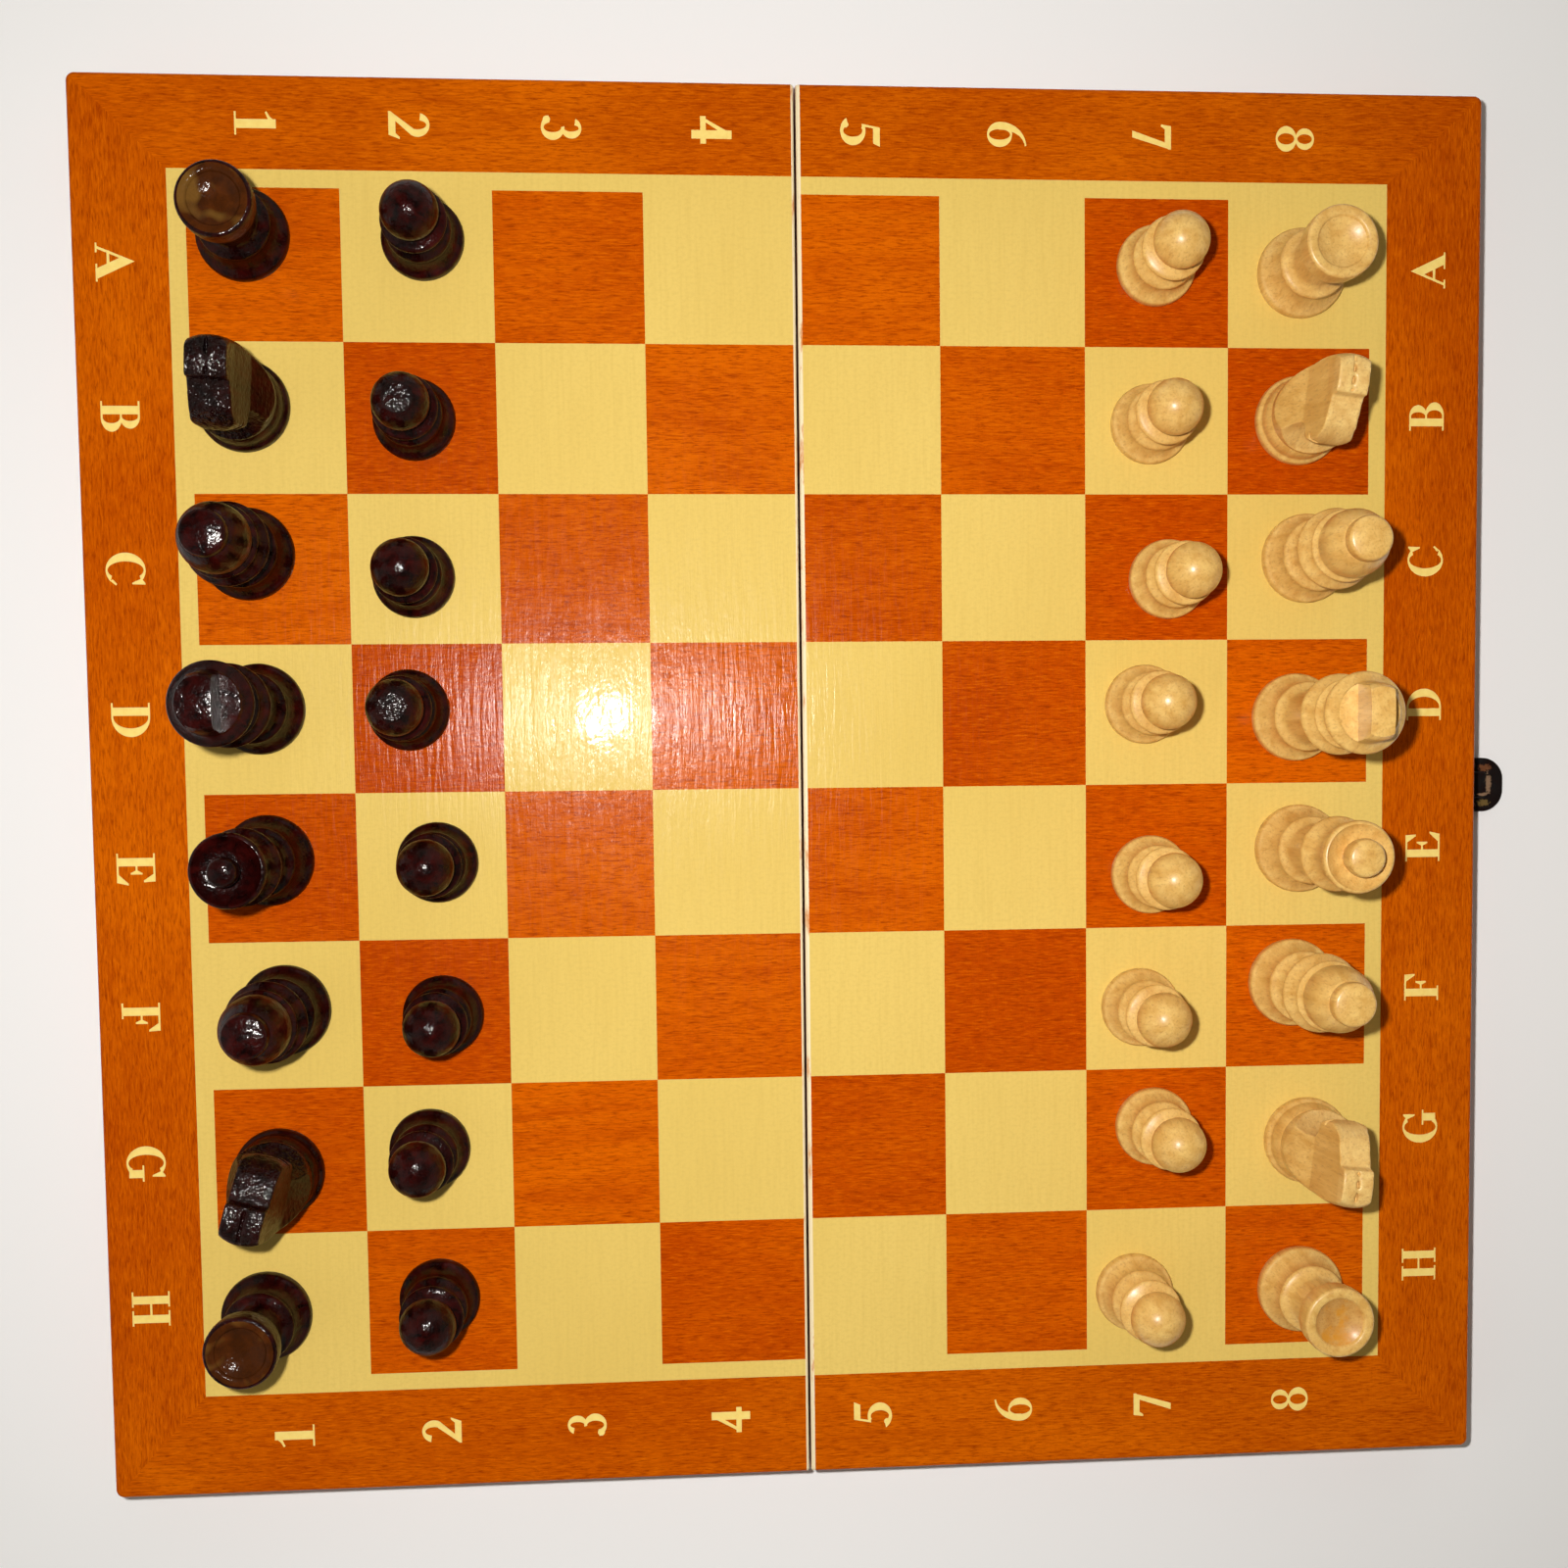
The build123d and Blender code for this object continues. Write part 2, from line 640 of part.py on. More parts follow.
def make_turned(name, stations, x, y):
    with BuildPart() as man:
        turn_blank(stations, x, y)
    save(man, name)


def make_king(name, x, y):
    """A turned king whose finial is sawn off on both sides down to a tongue."""
    with BuildPart() as man:
        turn_blank(king_outline(), x, y)
        low = BOARD_TOP + KING_SHOULDER
        for side in (-1, 1):
            near, far = sorted((x + side * KING_TONGUE / 2, x + side * SAW_ROOM))
            box_between((near, y - SAW_ROOM, low), (far, y + SAW_ROOM, low + SAW_ROOM), Mode.SUBTRACT)
    save(man, name)


def draw_knight_side():
    """Side view of the knight: foot, chest, muzzle, forehead, ears and the round back."""
    with BuildLine() as side_view:
        Polyline((-12, 0), (12, 0), (12, 11.6), (9.0, 12.2))
        SagittaArc((9.0, 12.2), (4.4, 23.2), 1.2)
        SagittaArc((4.4, 23.2), (7.6, 25.6), 0.5)
        SagittaArc((7.6, 25.6), (9.9, 29.4), -0.6)
        SagittaArc((9.9, 29.4), (6.6, 37.6), -0.9)
        Polyline((6.6, 37.6), (0.6, 40.4), (0.2, 43.0))
        SagittaArc((0.2, 43.0), (-8.4, 42.6), -1.0)
        SagittaArc((-8.4, 42.6), (-10.2, 26.0), -1.4)
        Polyline((-10.2, 26.0), (-12, 11.6), (-12, 0))
    make_face(side_view.edges())


def draw_knight_wedges(cheek):
    """Front view of what the saw takes off the head's two sides."""
    for side in (-1, 1):
        with BuildLine() as wedge:
            Polyline(
                (side * 9.8, 14.0),
                (side * (cheek + 1.3), 24.0),
                (side * cheek, 36.0),
                (side * (cheek - 0.2), KNIGHT_HEIGHT + 1),
                (side * 13, KNIGHT_HEIGHT + 1),
                (side * 13, 14.0),
                close=True,
            )
        make_face(wedge.edges())


def make_knight(name, x, y, heading):
    """A turned blank sawn to a horse's head that looks along its heading."""
    side_view = upright(x, y, heading)
    front_view = upright(x, y, heading + 90)
    with BuildPart() as man:
        turn_blank(knight_blank(), x, y)
        with BuildSketch(side_view):
            draw_knight_side()
        extrude(amount=SAW_ROOM, both=True, mode=Mode.INTERSECT)
        with BuildSketch(front_view):
            draw_knight_wedges(KNIGHT_CHEEKS[name.split("_")[0]])
        extrude(amount=SAW_ROOM, both=True, mode=Mode.SUBTRACT)
        with BuildSketch(front_view):
            with Locations((0, KNIGHT_HEIGHT)):
                Rectangle(EAR_GAP_WIDTH, 2 * EAR_GAP_DEPTH)
        extrude(amount=-EAR_GAP_LENGTH, mode=Mode.SUBTRACT)
        with BuildSketch(side_view):
            with BuildLine():
                Polyline((10.6, 28.2), (10.6, 29.6), (6.4, 28.6), close=True)
            make_face()
        extrude(amount=SAW_ROOM, both=True, mode=Mode.SUBTRACT)
    save(man, name)


def place_of(row, column, dx, dy):
    """Where a man's axis meets the board."""
    x = LEFT_FIELD + (column - 0.5) * SQUARE if column <= 4 else RIGHT_FIELD - (8.5 - column) * SQUARE
    y = FIELD_TOP - ("ABCDEFGH".index(row) + 0.5) * SQUARE
    return x + dx, y + dy


def make_men():
    outlines = {
        "pawn": pawn_outline(),
        "rook": rook_outline(),
        "bishop": bishop_outline(),
        "queen": queen_outline(4.4),
        "dark_queen": queen_outline(3.3),
    }
    for name, kind, row, column, dx, dy, heading in MEN:
        x, y = place_of(row, column, dx, dy)
        if kind == "king":
            make_king(name, x, y)
        elif kind == "knight":
            make_knight(name, x, y, heading)
        else:
            make_turned(name, outlines[kind], x, y)


os.makedirs("parts", exist_ok=True)
for half_side, half_name in ((-1, "left"), (1, "right")):
    make_panel(half_side, half_name)
    make_lining(half_side, half_name)
    for rail_name in ("outer", "seam", "top", "bottom"):
        make_rail(half_side, half_name, rail_name)
    for hinge in HINGE_Y:
        make_leaf(half_side, half_name, hinge)
    make_hinge_screws(half_side, half_name)
for hinge in HINGE_Y:
    make_hinge_pin(hinge)
make_latch_plate()
make_hasp()
make_latch_pin()
make_latch_screws()
make_catch()
make_men()
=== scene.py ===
"""Looks of the folding chess set: the printed board, its hardware and the 32 turned men."""

from math import asin, ceil, cos, degrees, hypot, pi, radians, sin, sqrt

import bmesh
import bpy
from mathutils import Euler, Matrix, Vector


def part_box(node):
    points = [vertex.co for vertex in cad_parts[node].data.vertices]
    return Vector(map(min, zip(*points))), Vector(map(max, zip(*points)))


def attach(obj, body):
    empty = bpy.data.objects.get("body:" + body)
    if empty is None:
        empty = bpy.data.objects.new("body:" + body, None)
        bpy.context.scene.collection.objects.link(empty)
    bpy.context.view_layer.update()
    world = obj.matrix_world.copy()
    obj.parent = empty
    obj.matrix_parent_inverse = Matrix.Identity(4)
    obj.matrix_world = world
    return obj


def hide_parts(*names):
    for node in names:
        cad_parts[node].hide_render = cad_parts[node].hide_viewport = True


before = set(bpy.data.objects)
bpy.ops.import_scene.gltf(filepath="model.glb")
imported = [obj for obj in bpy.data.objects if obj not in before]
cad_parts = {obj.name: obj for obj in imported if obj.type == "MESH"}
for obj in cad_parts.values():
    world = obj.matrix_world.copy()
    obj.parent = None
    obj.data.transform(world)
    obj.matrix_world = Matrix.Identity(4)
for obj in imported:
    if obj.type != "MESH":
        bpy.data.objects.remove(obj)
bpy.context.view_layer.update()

MM = 0.001
ROWS = "ABCDEFGH"
COINCIDE = 1e-6  # points closer than this are one point
ON_PLANE = 1e-7

# Faces that meet at more than this are shaded with a sharp edge
PANEL_CREASE = radians(35)
TURNED_CREASE = radians(32)
CARVED_CREASE = radians(60)

# ---- the board's print, in millimetres ----
EDGE = 170.0
SEAM_X = 0.3
BOARD_TOP = 22.2
SQUARE = 35.65
FIELD_TOP = 144.0
FIELD_BOTTOM = FIELD_TOP - 8 * SQUARE
LEFT_FIELD = -143.5
RIGHT_FIELD = 141.75
BAND = 4.2  # pale band round the squares
BARE_LEFT = -0.9  # where the bare edges beside the seam start
BARE_RIGHT = 1.3
INK = 0.02  # how far the lettering stands proud
UPWARD = 0.3  # a face whose normal's z is above this looks up

# Places of the playing panel's materials in its list
SQUARES, ACROSS, UP, PALE, WORN_EDGE, UNDERSIDE = range(6)

# The signs on each border: the line through their middles, their shift along it, height and turn
TOP_SIGNS = (158.8, -1.2, 9.6, -90)
BOTTOM_SIGNS = (-156.0, -1.0, 9.6, 90)
LEFT_SIGNS = (-160.0, 0.2, 9.0, -90)
RIGHT_SIGNS = (156.5, 1.4, 8.8, 90)
BOW_STEPS = 28  # stretches in a curved stroke
DOT_STEPS = 20

# Paler places painted on the hasp: two spots beside the screw holes, then a painted highlight along the
# boss's edge in two strokes: x, y, half width, half height, colour
HASP_SPOTS_AND_PAINTED_HIGHLIGHT = (
    # pale spots beside the screw holes
    (180.7, 4.5, 1.7, 0.8, (0.24, 0.085, 0.03, 1.0)),
    (180.4, -4.7, 1.5, 0.95, (0.24, 0.15, 0.04, 1.0)),
    # painted highlight along the boss's edge: its stem, then its foot
    (181.5, 0.2, 0.85, 2.6, (0.40, 0.24, 0.14, 1.0)),
    (180.1, -2.5, 1.4, 0.4, (0.40, 0.24, 0.14, 1.0)),
)

# ---- men, in millimetres ----
SEGMENTS = 84  # round a man
ARC_STEP = 0.45  # between two points of a rounded stretch, at most
ARC_TURN = 16  # degrees between them, at most
STRAIGHT = 0.02  # a stretch that swells out by less than this is straight
KING_TONGUE = 5.4
KING_SHOULDER = 58.4
SAW_REACH = 12.0  # how far the saw goes past the king's tongue
KNIGHT_HEADINGS = {
    "dark_knight_b": -93,
    "dark_knight_g": 75,
    "light_knight_b": -97,
    "light_knight_g": 84,
}
PAWN_HEAD = 6.55  # radius of a pawn's ball
PAWN_HEAD_Z = 27.9
PAWN_NECK = 3.7
WORN_PAWNS = ("dark_pawn_b", "dark_pawn_d")
WORN_RADIUS = 3.2
WORN_DOME = 0.15  # how far the worn flat rises to its middle
WORN_TOP = 33.4  # the worn flat lies above this
ROOK_DISH = 32.0  # a rook's dish lies above this
DARK_DISH_RADIUS = 7.0
PALE_DISH_RADIUS = 5.7
ROOK_TOP_LOOK, SAWN = 1, 2  # places of those materials in a turned man's list
KNIGHT_VOXEL = 0.32
KNIGHT_BASE = 12.0  # a knight's sawn face starts above this
KNIGHT_EARS = 40.0  # everything above this is sawn
SAWN_LEAN = 0.4  # a face that looks forward by more than this is sawn

# ---- the photograph's camera, its light beside the lens, and the room ----
CAMERA_PLACE = (-31.8, 9.7, 539.3)
CAMERA_TURN = (0.0725, 0.0861, 0.0162)
LENS = 48.4
SHIFT = (-0.046, 0.078)
KEY_PLACE = (-63.0, 29.0, 540.0)
KEY_SIZE = 0.014
KEY_POWER = 2.68
KEY_COLOUR = (1.0, 0.97, 0.92)
FILL_SIZE = 1.2
FLOOR_REACH = 9.0
WALL_LIGHT = (1.0, 0.9, 0.74, 1.0)
CEILING_LIGHT = (0.06, 0.05, 0.04, 1.0)
ROOM_LIGHT = 0.38


def linear(red, green, blue):
    """A colour given as 0 to 255 screen values, as the shader wants it."""
    parts = [value / 255 for value in (red, green, blue)]
    return tuple(p / 12.92 if p <= 0.04045 else ((p + 0.055) / 1.055) ** 2.4 for p in parts) + (1.0,)


# ======================= materials =======================


class Surface:
    """A material being built from nodes. place is the coordinate that its patterns follow."""

    def __init__(self, name):
        self.material = bpy.data.materials.new(name)
        self.material.use_nodes = True
        self.tree = self.material.node_tree
        self.shader = self.tree.nodes["Principled BSDF"]
        self.place = self.tree.nodes.new("ShaderNodeTexCoord").outputs["Object"]

    def feed(self, socket, value):
        if isinstance(value, bpy.types.NodeSocket):
            self.tree.links.new(value, socket)
        else:
            socket.default_value = value

    def node(self, kind, inputs, **settings):
        made = self.tree.nodes.new(kind)
        for key, value in settings.items():
            setattr(made, key, value)
        for key, value in inputs.items():
            self.feed(made.inputs[key], value)
        return made

    def set(self, **values):
        for key, value in values.items():
            self.feed(self.shader.inputs[key.replace("_", " ")], value)

    def stretch(self, scale, source=None):
        """The coordinate with each axis scaled, in cycles per metre."""
        inputs = {0: source or self.place, 1: scale}
        return self.node("ShaderNodeVectorMath", inputs, operation="MULTIPLY").outputs[0]

    def add(self, first, second):
        return self.node("ShaderNodeVectorMath", {0: first, 1: second}, operation="ADD").outputs[0]

    def noise(self, vector, detail=4.0, roughness=0.6, scale=1.0, distortion=0.0):
        inputs = {"Vector": vector, "Scale": scale, "Detail": detail, "Roughness": roughness,
                  "Distortion": distortion}
        return self.node("ShaderNodeTexNoise", inputs).outputs["Fac"]

    def math(self, operation, first, second=0.0):
        return self.node("ShaderNodeMath", {0: first, 1: second}, operation=operation).outputs[0]

    def sum_of(self, first, first_share, second, second_share):
        shares = (self.math("MULTIPLY", first, first_share), self.math("MULTIPLY", second, second_share))
        return self.math("ADD", *shares)

    def own_place(self, step):
        """The coordinate, moved by an amount that differs from one object to the next."""
        chance = self.tree.nodes.new("ShaderNodeObjectInfo").outputs["Random"]
        spread = self.node("ShaderNodeCombineXYZ", {"X": chance, "Y": self.math("MULTIPLY", chance, step)})
        return self.add(self.place, spread.outputs[0])

    def remap(self, value, low, high, to_low=0.0, to_high=1.0):
        inputs = {"Value": value, "From Min": low, "From Max": high, "To Min": to_low, "To Max": to_high}
        return self.node("ShaderNodeMapRange", inputs).outputs["Result"]

    def mix(self, factor, first, second, blend="MIX"):
        made = self.tree.nodes.new("ShaderNodeMix")
        made.data_type = "RGBA"
        made.blend_type = blend
        self.feed(made.inputs["Factor"], factor)
        self.feed(made.inputs[6], first)
        self.feed(made.inputs[7], second)
        return made.outputs[2]

    def bump(self, height, strength, distance, normal=None):
        inputs = {"Height": height, "Strength": strength, "Distance": distance}
        if normal is not None:
            inputs["Normal"] = normal
        return self.node("ShaderNodeBump", inputs).outputs["Normal"]

    def square_offset(self):
        """A coordinate shift that differs from one square of the board to the next."""
        moved = self.add(self.place, (-LEFT_FIELD * MM, -FIELD_BOTTOM * MM, 0.0))
        cells = self.stretch((1 / (SQUARE * MM), 1 / (SQUARE * MM), 0.0), moved)
        floor = self.node("ShaderNodeVectorMath", {0: cells}, operation="FLOOR").outputs[0]
        return self.node("ShaderNodeTexWhiteNoise", {"Vector": floor}, noise_dimensions="3D").outputs


def along_grain(grain, lengthwise, crosswise, deep):
    """Cycles per metre for a pattern whose grain runs along X or Y."""
    return (lengthwise, crosswise, deep) if grain == "X" else (crosswise, lengthwise, deep)


def lacquer(surface):
    """The brushed gloss coat over a printed face: upright brush marks under a slight orange peel."""
    streaks = surface.noise(surface.stretch((820.0, 75.0, 75.0)), distortion=0.4)
    peel = surface.noise(surface.stretch((560.0, 380.0, 560.0)), detail=2.0)
    ripples = surface.noise(surface.stretch((70.0, 40.0, 60.0)), detail=1.0)
    brushed = surface.sum_of(streaks, 2.2, peel, 0.7)
    surface.set(Normal=surface.bump(brushed, 0.1, 0.0006))
    skin = surface.sum_of(peel, 0.6, ripples, 4.0)
    surface.set(Coat_Normal=surface.bump(skin, 0.07, 0.0006))
    surface.set(Roughness=surface.remap(streaks, 0.3, 0.7, 0.12, 0.2), Specular_IOR_Level=0.045)
    surface.set(Coat_Weight=0.025, Coat_Roughness=0.05, Coat_IOR=1.4)


def printed_wood(name, grain, reds, by_square=False):
    """Mahogany print: fine dark pores along the grain over broad drifts of red and orange."""
    surface = Surface(name)
    place = surface.place
    drift = surface.noise(surface.stretch((16.0, 16.0, 16.0)), detail=3.0)
    if by_square:
        value, colour = surface.square_offset()
        shift = surface.stretch((0.7, 0.7, 0.0), colour)
        place = surface.add(place, shift)
        drift = surface.sum_of(drift, 0.55, value, 0.45)
    fine = along_grain(grain, 300.0, 2300.0, 2300.0)
    middle = along_grain(grain, 90.0, 800.0, 800.0)
    broad = along_grain(grain, 16.0, 75.0, 60.0)
    pores = surface.noise(surface.stretch(fine, place), detail=5.0, roughness=0.7, distortion=0.5)
    fibres = surface.noise(surface.stretch(middle, place), detail=4.0, roughness=0.6, distortion=0.6)
    figure = surface.noise(surface.stretch(broad, place), detail=3.0, distortion=1.5)
    base = surface.mix(surface.remap(drift, 0.34, 0.66), reds[0], reds[1])
    base = surface.mix(surface.remap(figure, 0.40, 0.72, 0.0, 0.5), base, reds[2])
    base = surface.mix(surface.remap(fibres, 0.50, 0.72, 0.0, 0.45), base, linear(160, 54, 0))
    base = surface.mix(surface.remap(pores, 0.50, 0.66, 0.0, 0.75), base, linear(140, 46, 0))
    base = surface.mix(surface.remap(pores, 0.48, 0.32, 0.0, 0.45), base, linear(232, 120, 8))
    surface.set(Base_Color=base)
    lacquer(surface)
    return surface.material


def printed_field():
    """The pale squares: straw yellow with faint upright threads."""
    surface = Surface("pale_print")
    threads = surface.noise(surface.stretch((1300.0, 60.0, 60.0)), detail=3.0)
    weft = surface.noise(surface.stretch((900.0, 1300.0, 900.0)), detail=3.0)
    cloud = surface.noise(surface.stretch((12.0, 12.0, 12.0)), detail=2.0)
    base = surface.mix(surface.remap(cloud, 0.3, 0.7), linear(228, 196, 104), linear(235, 204, 113))
    base = surface.mix(surface.remap(threads, 0.45, 0.75, 0.0, 0.25), base, linear(214, 180, 92))
    base = surface.mix(surface.remap(weft, 0.45, 0.7, 0.0, 0.4), base, linear(216, 184, 98))
    surface.set(Base_Color=base)
    lacquer(surface)
    return surface.material


def lettering():
    surface = Surface("pale_ink")
    speck = surface.noise(surface.stretch((500.0, 500.0, 500.0)), detail=3.0)
    wear = surface.remap(speck, 0.4, 0.75, 0.0, 0.5)
    base = surface.mix(wear, linear(250, 222, 130), linear(238, 196, 96))
    surface.set(Base_Color=base)
    lacquer(surface)
    return surface.material


def bare_edge():
    """Where the print is rubbed off the edges: pale board with flecks of the colour left."""
    surface = Surface("rubbed_edge")
    rubbed = surface.noise(surface.stretch((300.0, 60.0, 300.0)), detail=5.0, roughness=0.7)
    base = surface.mix(surface.remap(rubbed, 0.56, 0.66), linear(244, 226, 186), linear(214, 132, 52))
    surface.set(Base_Color=base, Roughness=surface.remap(rubbed, 0.3, 0.7, 0.45, 0.65))
    surface.set(Normal=surface.bump(rubbed, 0.3, 0.0003))
    return surface.material


def rail_wood(name, grain):
    """Stained and lacquered rail, with the grain along its length."""
    surface = Surface(name)
    pores = surface.noise(surface.stretch(along_grain(grain, 60.0, 1560.0, 1560.0)), detail=4.0)
    lengths = along_grain(grain, 10.0, 260.0, 260.0)
    figure = surface.noise(surface.stretch(lengths), detail=4.0, distortion=0.8)
    base = surface.mix(surface.remap(figure, 0.3, 0.7), linear(150, 62, 20), linear(190, 92, 36))
    base = surface.mix(surface.remap(pores, 0.52, 0.75, 0.0, 0.8), base, linear(92, 34, 12))
    surface.set(Base_Color=base, Roughness=surface.remap(pores, 0.3, 0.7, 0.32, 0.5))
    surface.set(Coat_Weight=0.4, Coat_Roughness=0.2)
    surface.set(Normal=surface.bump(pores, 0.25, 0.0003))
    return surface.material


def felt():
    surface = Surface("green_felt")
    nap = surface.noise(surface.stretch((1400.0, 1400.0, 1400.0)), detail=6.0, roughness=0.8)
    cloud = surface.noise(surface.stretch((45.0, 45.0, 45.0)), detail=3.0)
    base = surface.mix(surface.remap(nap, 0.3, 0.7), linear(18, 62, 30), linear(46, 104, 54))
    base = surface.mix(surface.remap(cloud, 0.4, 0.7, 0.0, 0.4), base, linear(24, 76, 40))
    surface.set(Base_Color=base, Roughness=0.95, Sheen_Weight=0.5, Sheen_Roughness=0.5)
    surface.set(Normal=surface.bump(nap, 0.6, 0.0005))
    return surface.material


def metal(name, bright, tarnish, rough, spots=None):
    """Plated metal with tarnish, fine scratches and, on old bronze, spots where the finish is gone."""
    surface = Surface(name)
    cloud = surface.noise(surface.stretch((260.0, 260.0, 260.0)), detail=4.0)
    scratch = surface.noise(surface.stretch((350.0, 5000.0, 350.0)), detail=3.0)
    base = surface.mix(surface.remap(cloud, 0.35, 0.65), bright, tarnish)
    if spots:
        worn = surface.noise(surface.stretch((430.0, 430.0, 430.0)), detail=2.0)
        base = surface.mix(surface.remap(worn, 0.62, 0.68), base, spots)
    roughness = surface.math("ADD", surface.remap(cloud, 0.3, 0.7, rough - 0.08, rough + 0.1),
                             surface.remap(scratch, 0.3, 0.7, -0.05, 0.05))
    surface.set(Base_Color=base, Metallic=1.0, Roughness=roughness)
    surface.set(Normal=surface.bump(scratch, 0.12, 0.0001))
    return surface.material


def bronze_with_painted_highlight():
    """The hasp's dark bronze, with pale spots beside the screw holes and a painted highlight along the
    boss's edge.
    """
    surface = Surface("bronze_with_painted_highlight")
    cloud = surface.noise(surface.stretch((400.0, 400.0, 400.0)), detail=4.0)
    crumbs = surface.noise(surface.stretch((1500.0, 1500.0, 1500.0)), detail=3.0)
    base = surface.mix(surface.remap(cloud, 0.35, 0.65), linear(26, 8, 7), linear(10, 3, 3))
    # each pale spot and each stroke of painted highlight is a soft ragged patch
    for x, y, half_x, half_y, bright in HASP_SPOTS_AND_PAINTED_HIGHLIGHT:
        offset = surface.add(surface.place, (-x * MM, -y * MM, 0.0))
        scaled = surface.stretch((1 / (half_x * MM), 1 / (half_y * MM), 0.0), offset)
        reach = surface.node("ShaderNodeVectorMath", {0: scaled}, operation="LENGTH").outputs["Value"]
        ragged = surface.math("ADD", reach, surface.remap(crumbs, 0.3, 0.7, -0.6, 0.6))
        base = surface.mix(surface.remap(ragged, 0.8, 1.15, 0.85, 0.0), base, bright)
    surface.set(Base_Color=base, Metallic=0.35, Roughness=surface.remap(cloud, 0.3, 0.7, 0.3, 0.5))
    surface.set(Normal=surface.bump(crumbs, 0.25, 0.0002))
    return surface.material


def turned_wood(name, pale, warm, vein, gloss, stain=None):
    """Clear-coated pale wood, its grain running up the man. A stain, if any, covers part of it."""
    surface = Surface(name)
    place = surface.own_place(3.7)
    grain = surface.noise(surface.stretch((420.0, 420.0, 26.0), place), detail=5.0, distortion=0.4)
    flecks = surface.noise(surface.stretch((1900.0, 1900.0, 330.0), place), detail=3.0)
    rings = surface.noise(surface.stretch((30.0, 30.0, 2600.0)), detail=2.0)
    base = surface.mix(surface.remap(grain, 0.32, 0.66), pale, warm)
    base = surface.mix(surface.remap(flecks, 0.52, 0.74, 0.0, 0.5), base, vein)
    if stain:
        spot = surface.noise(surface.stretch((210.0, 210.0, 210.0), place), detail=3.0)
        base = surface.mix(surface.remap(spot, 0.50, 0.62, 0.0, 0.85), base, stain)
    surface.set(Base_Color=base, Roughness=surface.remap(grain, 0.3, 0.7, gloss, gloss + 0.12))
    surface.set(Coat_Weight=0.25, Coat_Roughness=0.25, Specular_IOR_Level=0.4)
    surface.set(Normal=surface.bump(surface.math("ADD", rings, flecks), 0.10, 0.0004))
    return surface.material


def dark_wood(name, low, high, gloss, coat, rough, reflection_patch=None):
    """Thick dark lacquer over stained wood: rough is how strongly its skin is dimpled, and a lighter patch
    colour, if given, is painted reflection of the pale room.
    """
    surface = Surface(name)
    place = surface.own_place(5.3)
    grain = surface.noise(surface.stretch((380.0, 380.0, 30.0), place), detail=4.0, distortion=0.4)
    cloud = surface.noise(surface.stretch((90.0, 90.0, 60.0), place), detail=2.0)
    peel = surface.noise(surface.stretch((750.0, 750.0, 750.0), place), detail=2.0)
    sags = surface.noise(surface.stretch((170.0, 170.0, 90.0), place), detail=1.0)
    base = surface.mix(surface.remap(grain, 0.35, 0.72), low, high)
    base = surface.mix(surface.remap(cloud, 0.35, 0.6, 0.6, 0.0), base, low)
    # lighter patches: painted reflection of the pale room
    if reflection_patch:
        base = surface.mix(surface.remap(cloud, 0.52, 0.6, 0.0, 0.7), base, reflection_patch)
    normal = surface.bump(surface.math("ADD", peel, sags), rough, 0.0006)
    surface.set(Base_Color=base, Roughness=surface.remap(peel, 0.3, 0.7, gloss, gloss + 0.15))
    surface.set(Coat_Weight=coat, Coat_Roughness=0.14, Coat_IOR=2.0, Specular_IOR_Level=coat / 5)
    surface.set(Normal=normal, Coat_Normal=normal)
    return surface.material


def floor_material():
    surface = Surface("studio_floor")
    tone = surface.noise(surface.stretch((3.0, 3.0, 3.0)), detail=2.0)
    base = surface.mix(tone, (0.95, 0.96, 0.98, 1.0), (0.97, 0.98, 1.0, 1.0))
    surface.set(Base_Color=base, Roughness=0.9, Specular_IOR_Level=0.1)
    return surface.material


SQUARE_REDS = (linear(190, 72, 0), linear(214, 98, 2), linear(180, 62, 0))
BORDER_REDS = (linear(190, 80, 0), linear(208, 98, 2), linear(176, 70, 0))
PRINT_SQUARE = printed_wood("mahogany_squares", "X", SQUARE_REDS, by_square=True)
PRINT_ACROSS = printed_wood("mahogany_border_across", "X", BORDER_REDS)
PRINT_UP = printed_wood("mahogany_border_up", "Y", BORDER_REDS)
PRINT_PALE = printed_field()
INK_PALE = lettering()
BARE = bare_edge()
RAIL_ACROSS = rail_wood("rail_across", "X")
RAIL_UP = rail_wood("rail_up", "Y")
FELT = felt()
BRASS = metal("hinge_brass_plate", linear(214, 178, 104), linear(170, 130, 66), 0.3)
STEEL = metal("hinge_pin_steel", linear(180, 180, 182), linear(140, 140, 142), 0.3)
BRONZE = metal("antique_bronze", linear(96, 70, 50), linear(48, 34, 26), 0.3, linear(206, 168, 118))
BRONZE_WITH_PAINTED_HIGHLIGHT = bronze_with_painted_highlight()
BEECH = (linear(236, 196, 116), linear(214, 164, 84), linear(168, 112, 54))
SAWN_BEECH = (linear(240, 204, 128), linear(220, 174, 98), linear(172, 118, 60))
STAINED_BEECH = (linear(214, 166, 92), linear(196, 140, 66), linear(156, 84, 26))
PALE_WOOD = turned_wood("pale_beech", *BEECH, 0.30)
PALE_CUT = turned_wood("pale_sawn_beech", *SAWN_BEECH, 0.4)
STAINED = turned_wood("stained_beech", *STAINED_BEECH, 0.4, linear(212, 142, 34))
DARK_WOOD = dark_wood("dark_lacquer", linear(12, 1, 1), linear(58, 8, 6), 0.3, 0.17, 0.4)
DARK_CUT = dark_wood("dark_sawn_lacquer", linear(9, 1, 1), linear(42, 6, 5), 0.3, 0.24, 1.0)
# Dark rooks' dish tops: the end grain's brown under thin lacquer, partly painted reflection of the pale
# room, with lighter patches of painted reflection
DARK_DISH_AND_REFLECTION = dark_wood(
    "dark_dish_end_grain_and_painted_reflection", linear(56, 26, 6), linear(88, 42, 10), 0.5, 0.08, 0.3, linear(118, 84, 34)
)


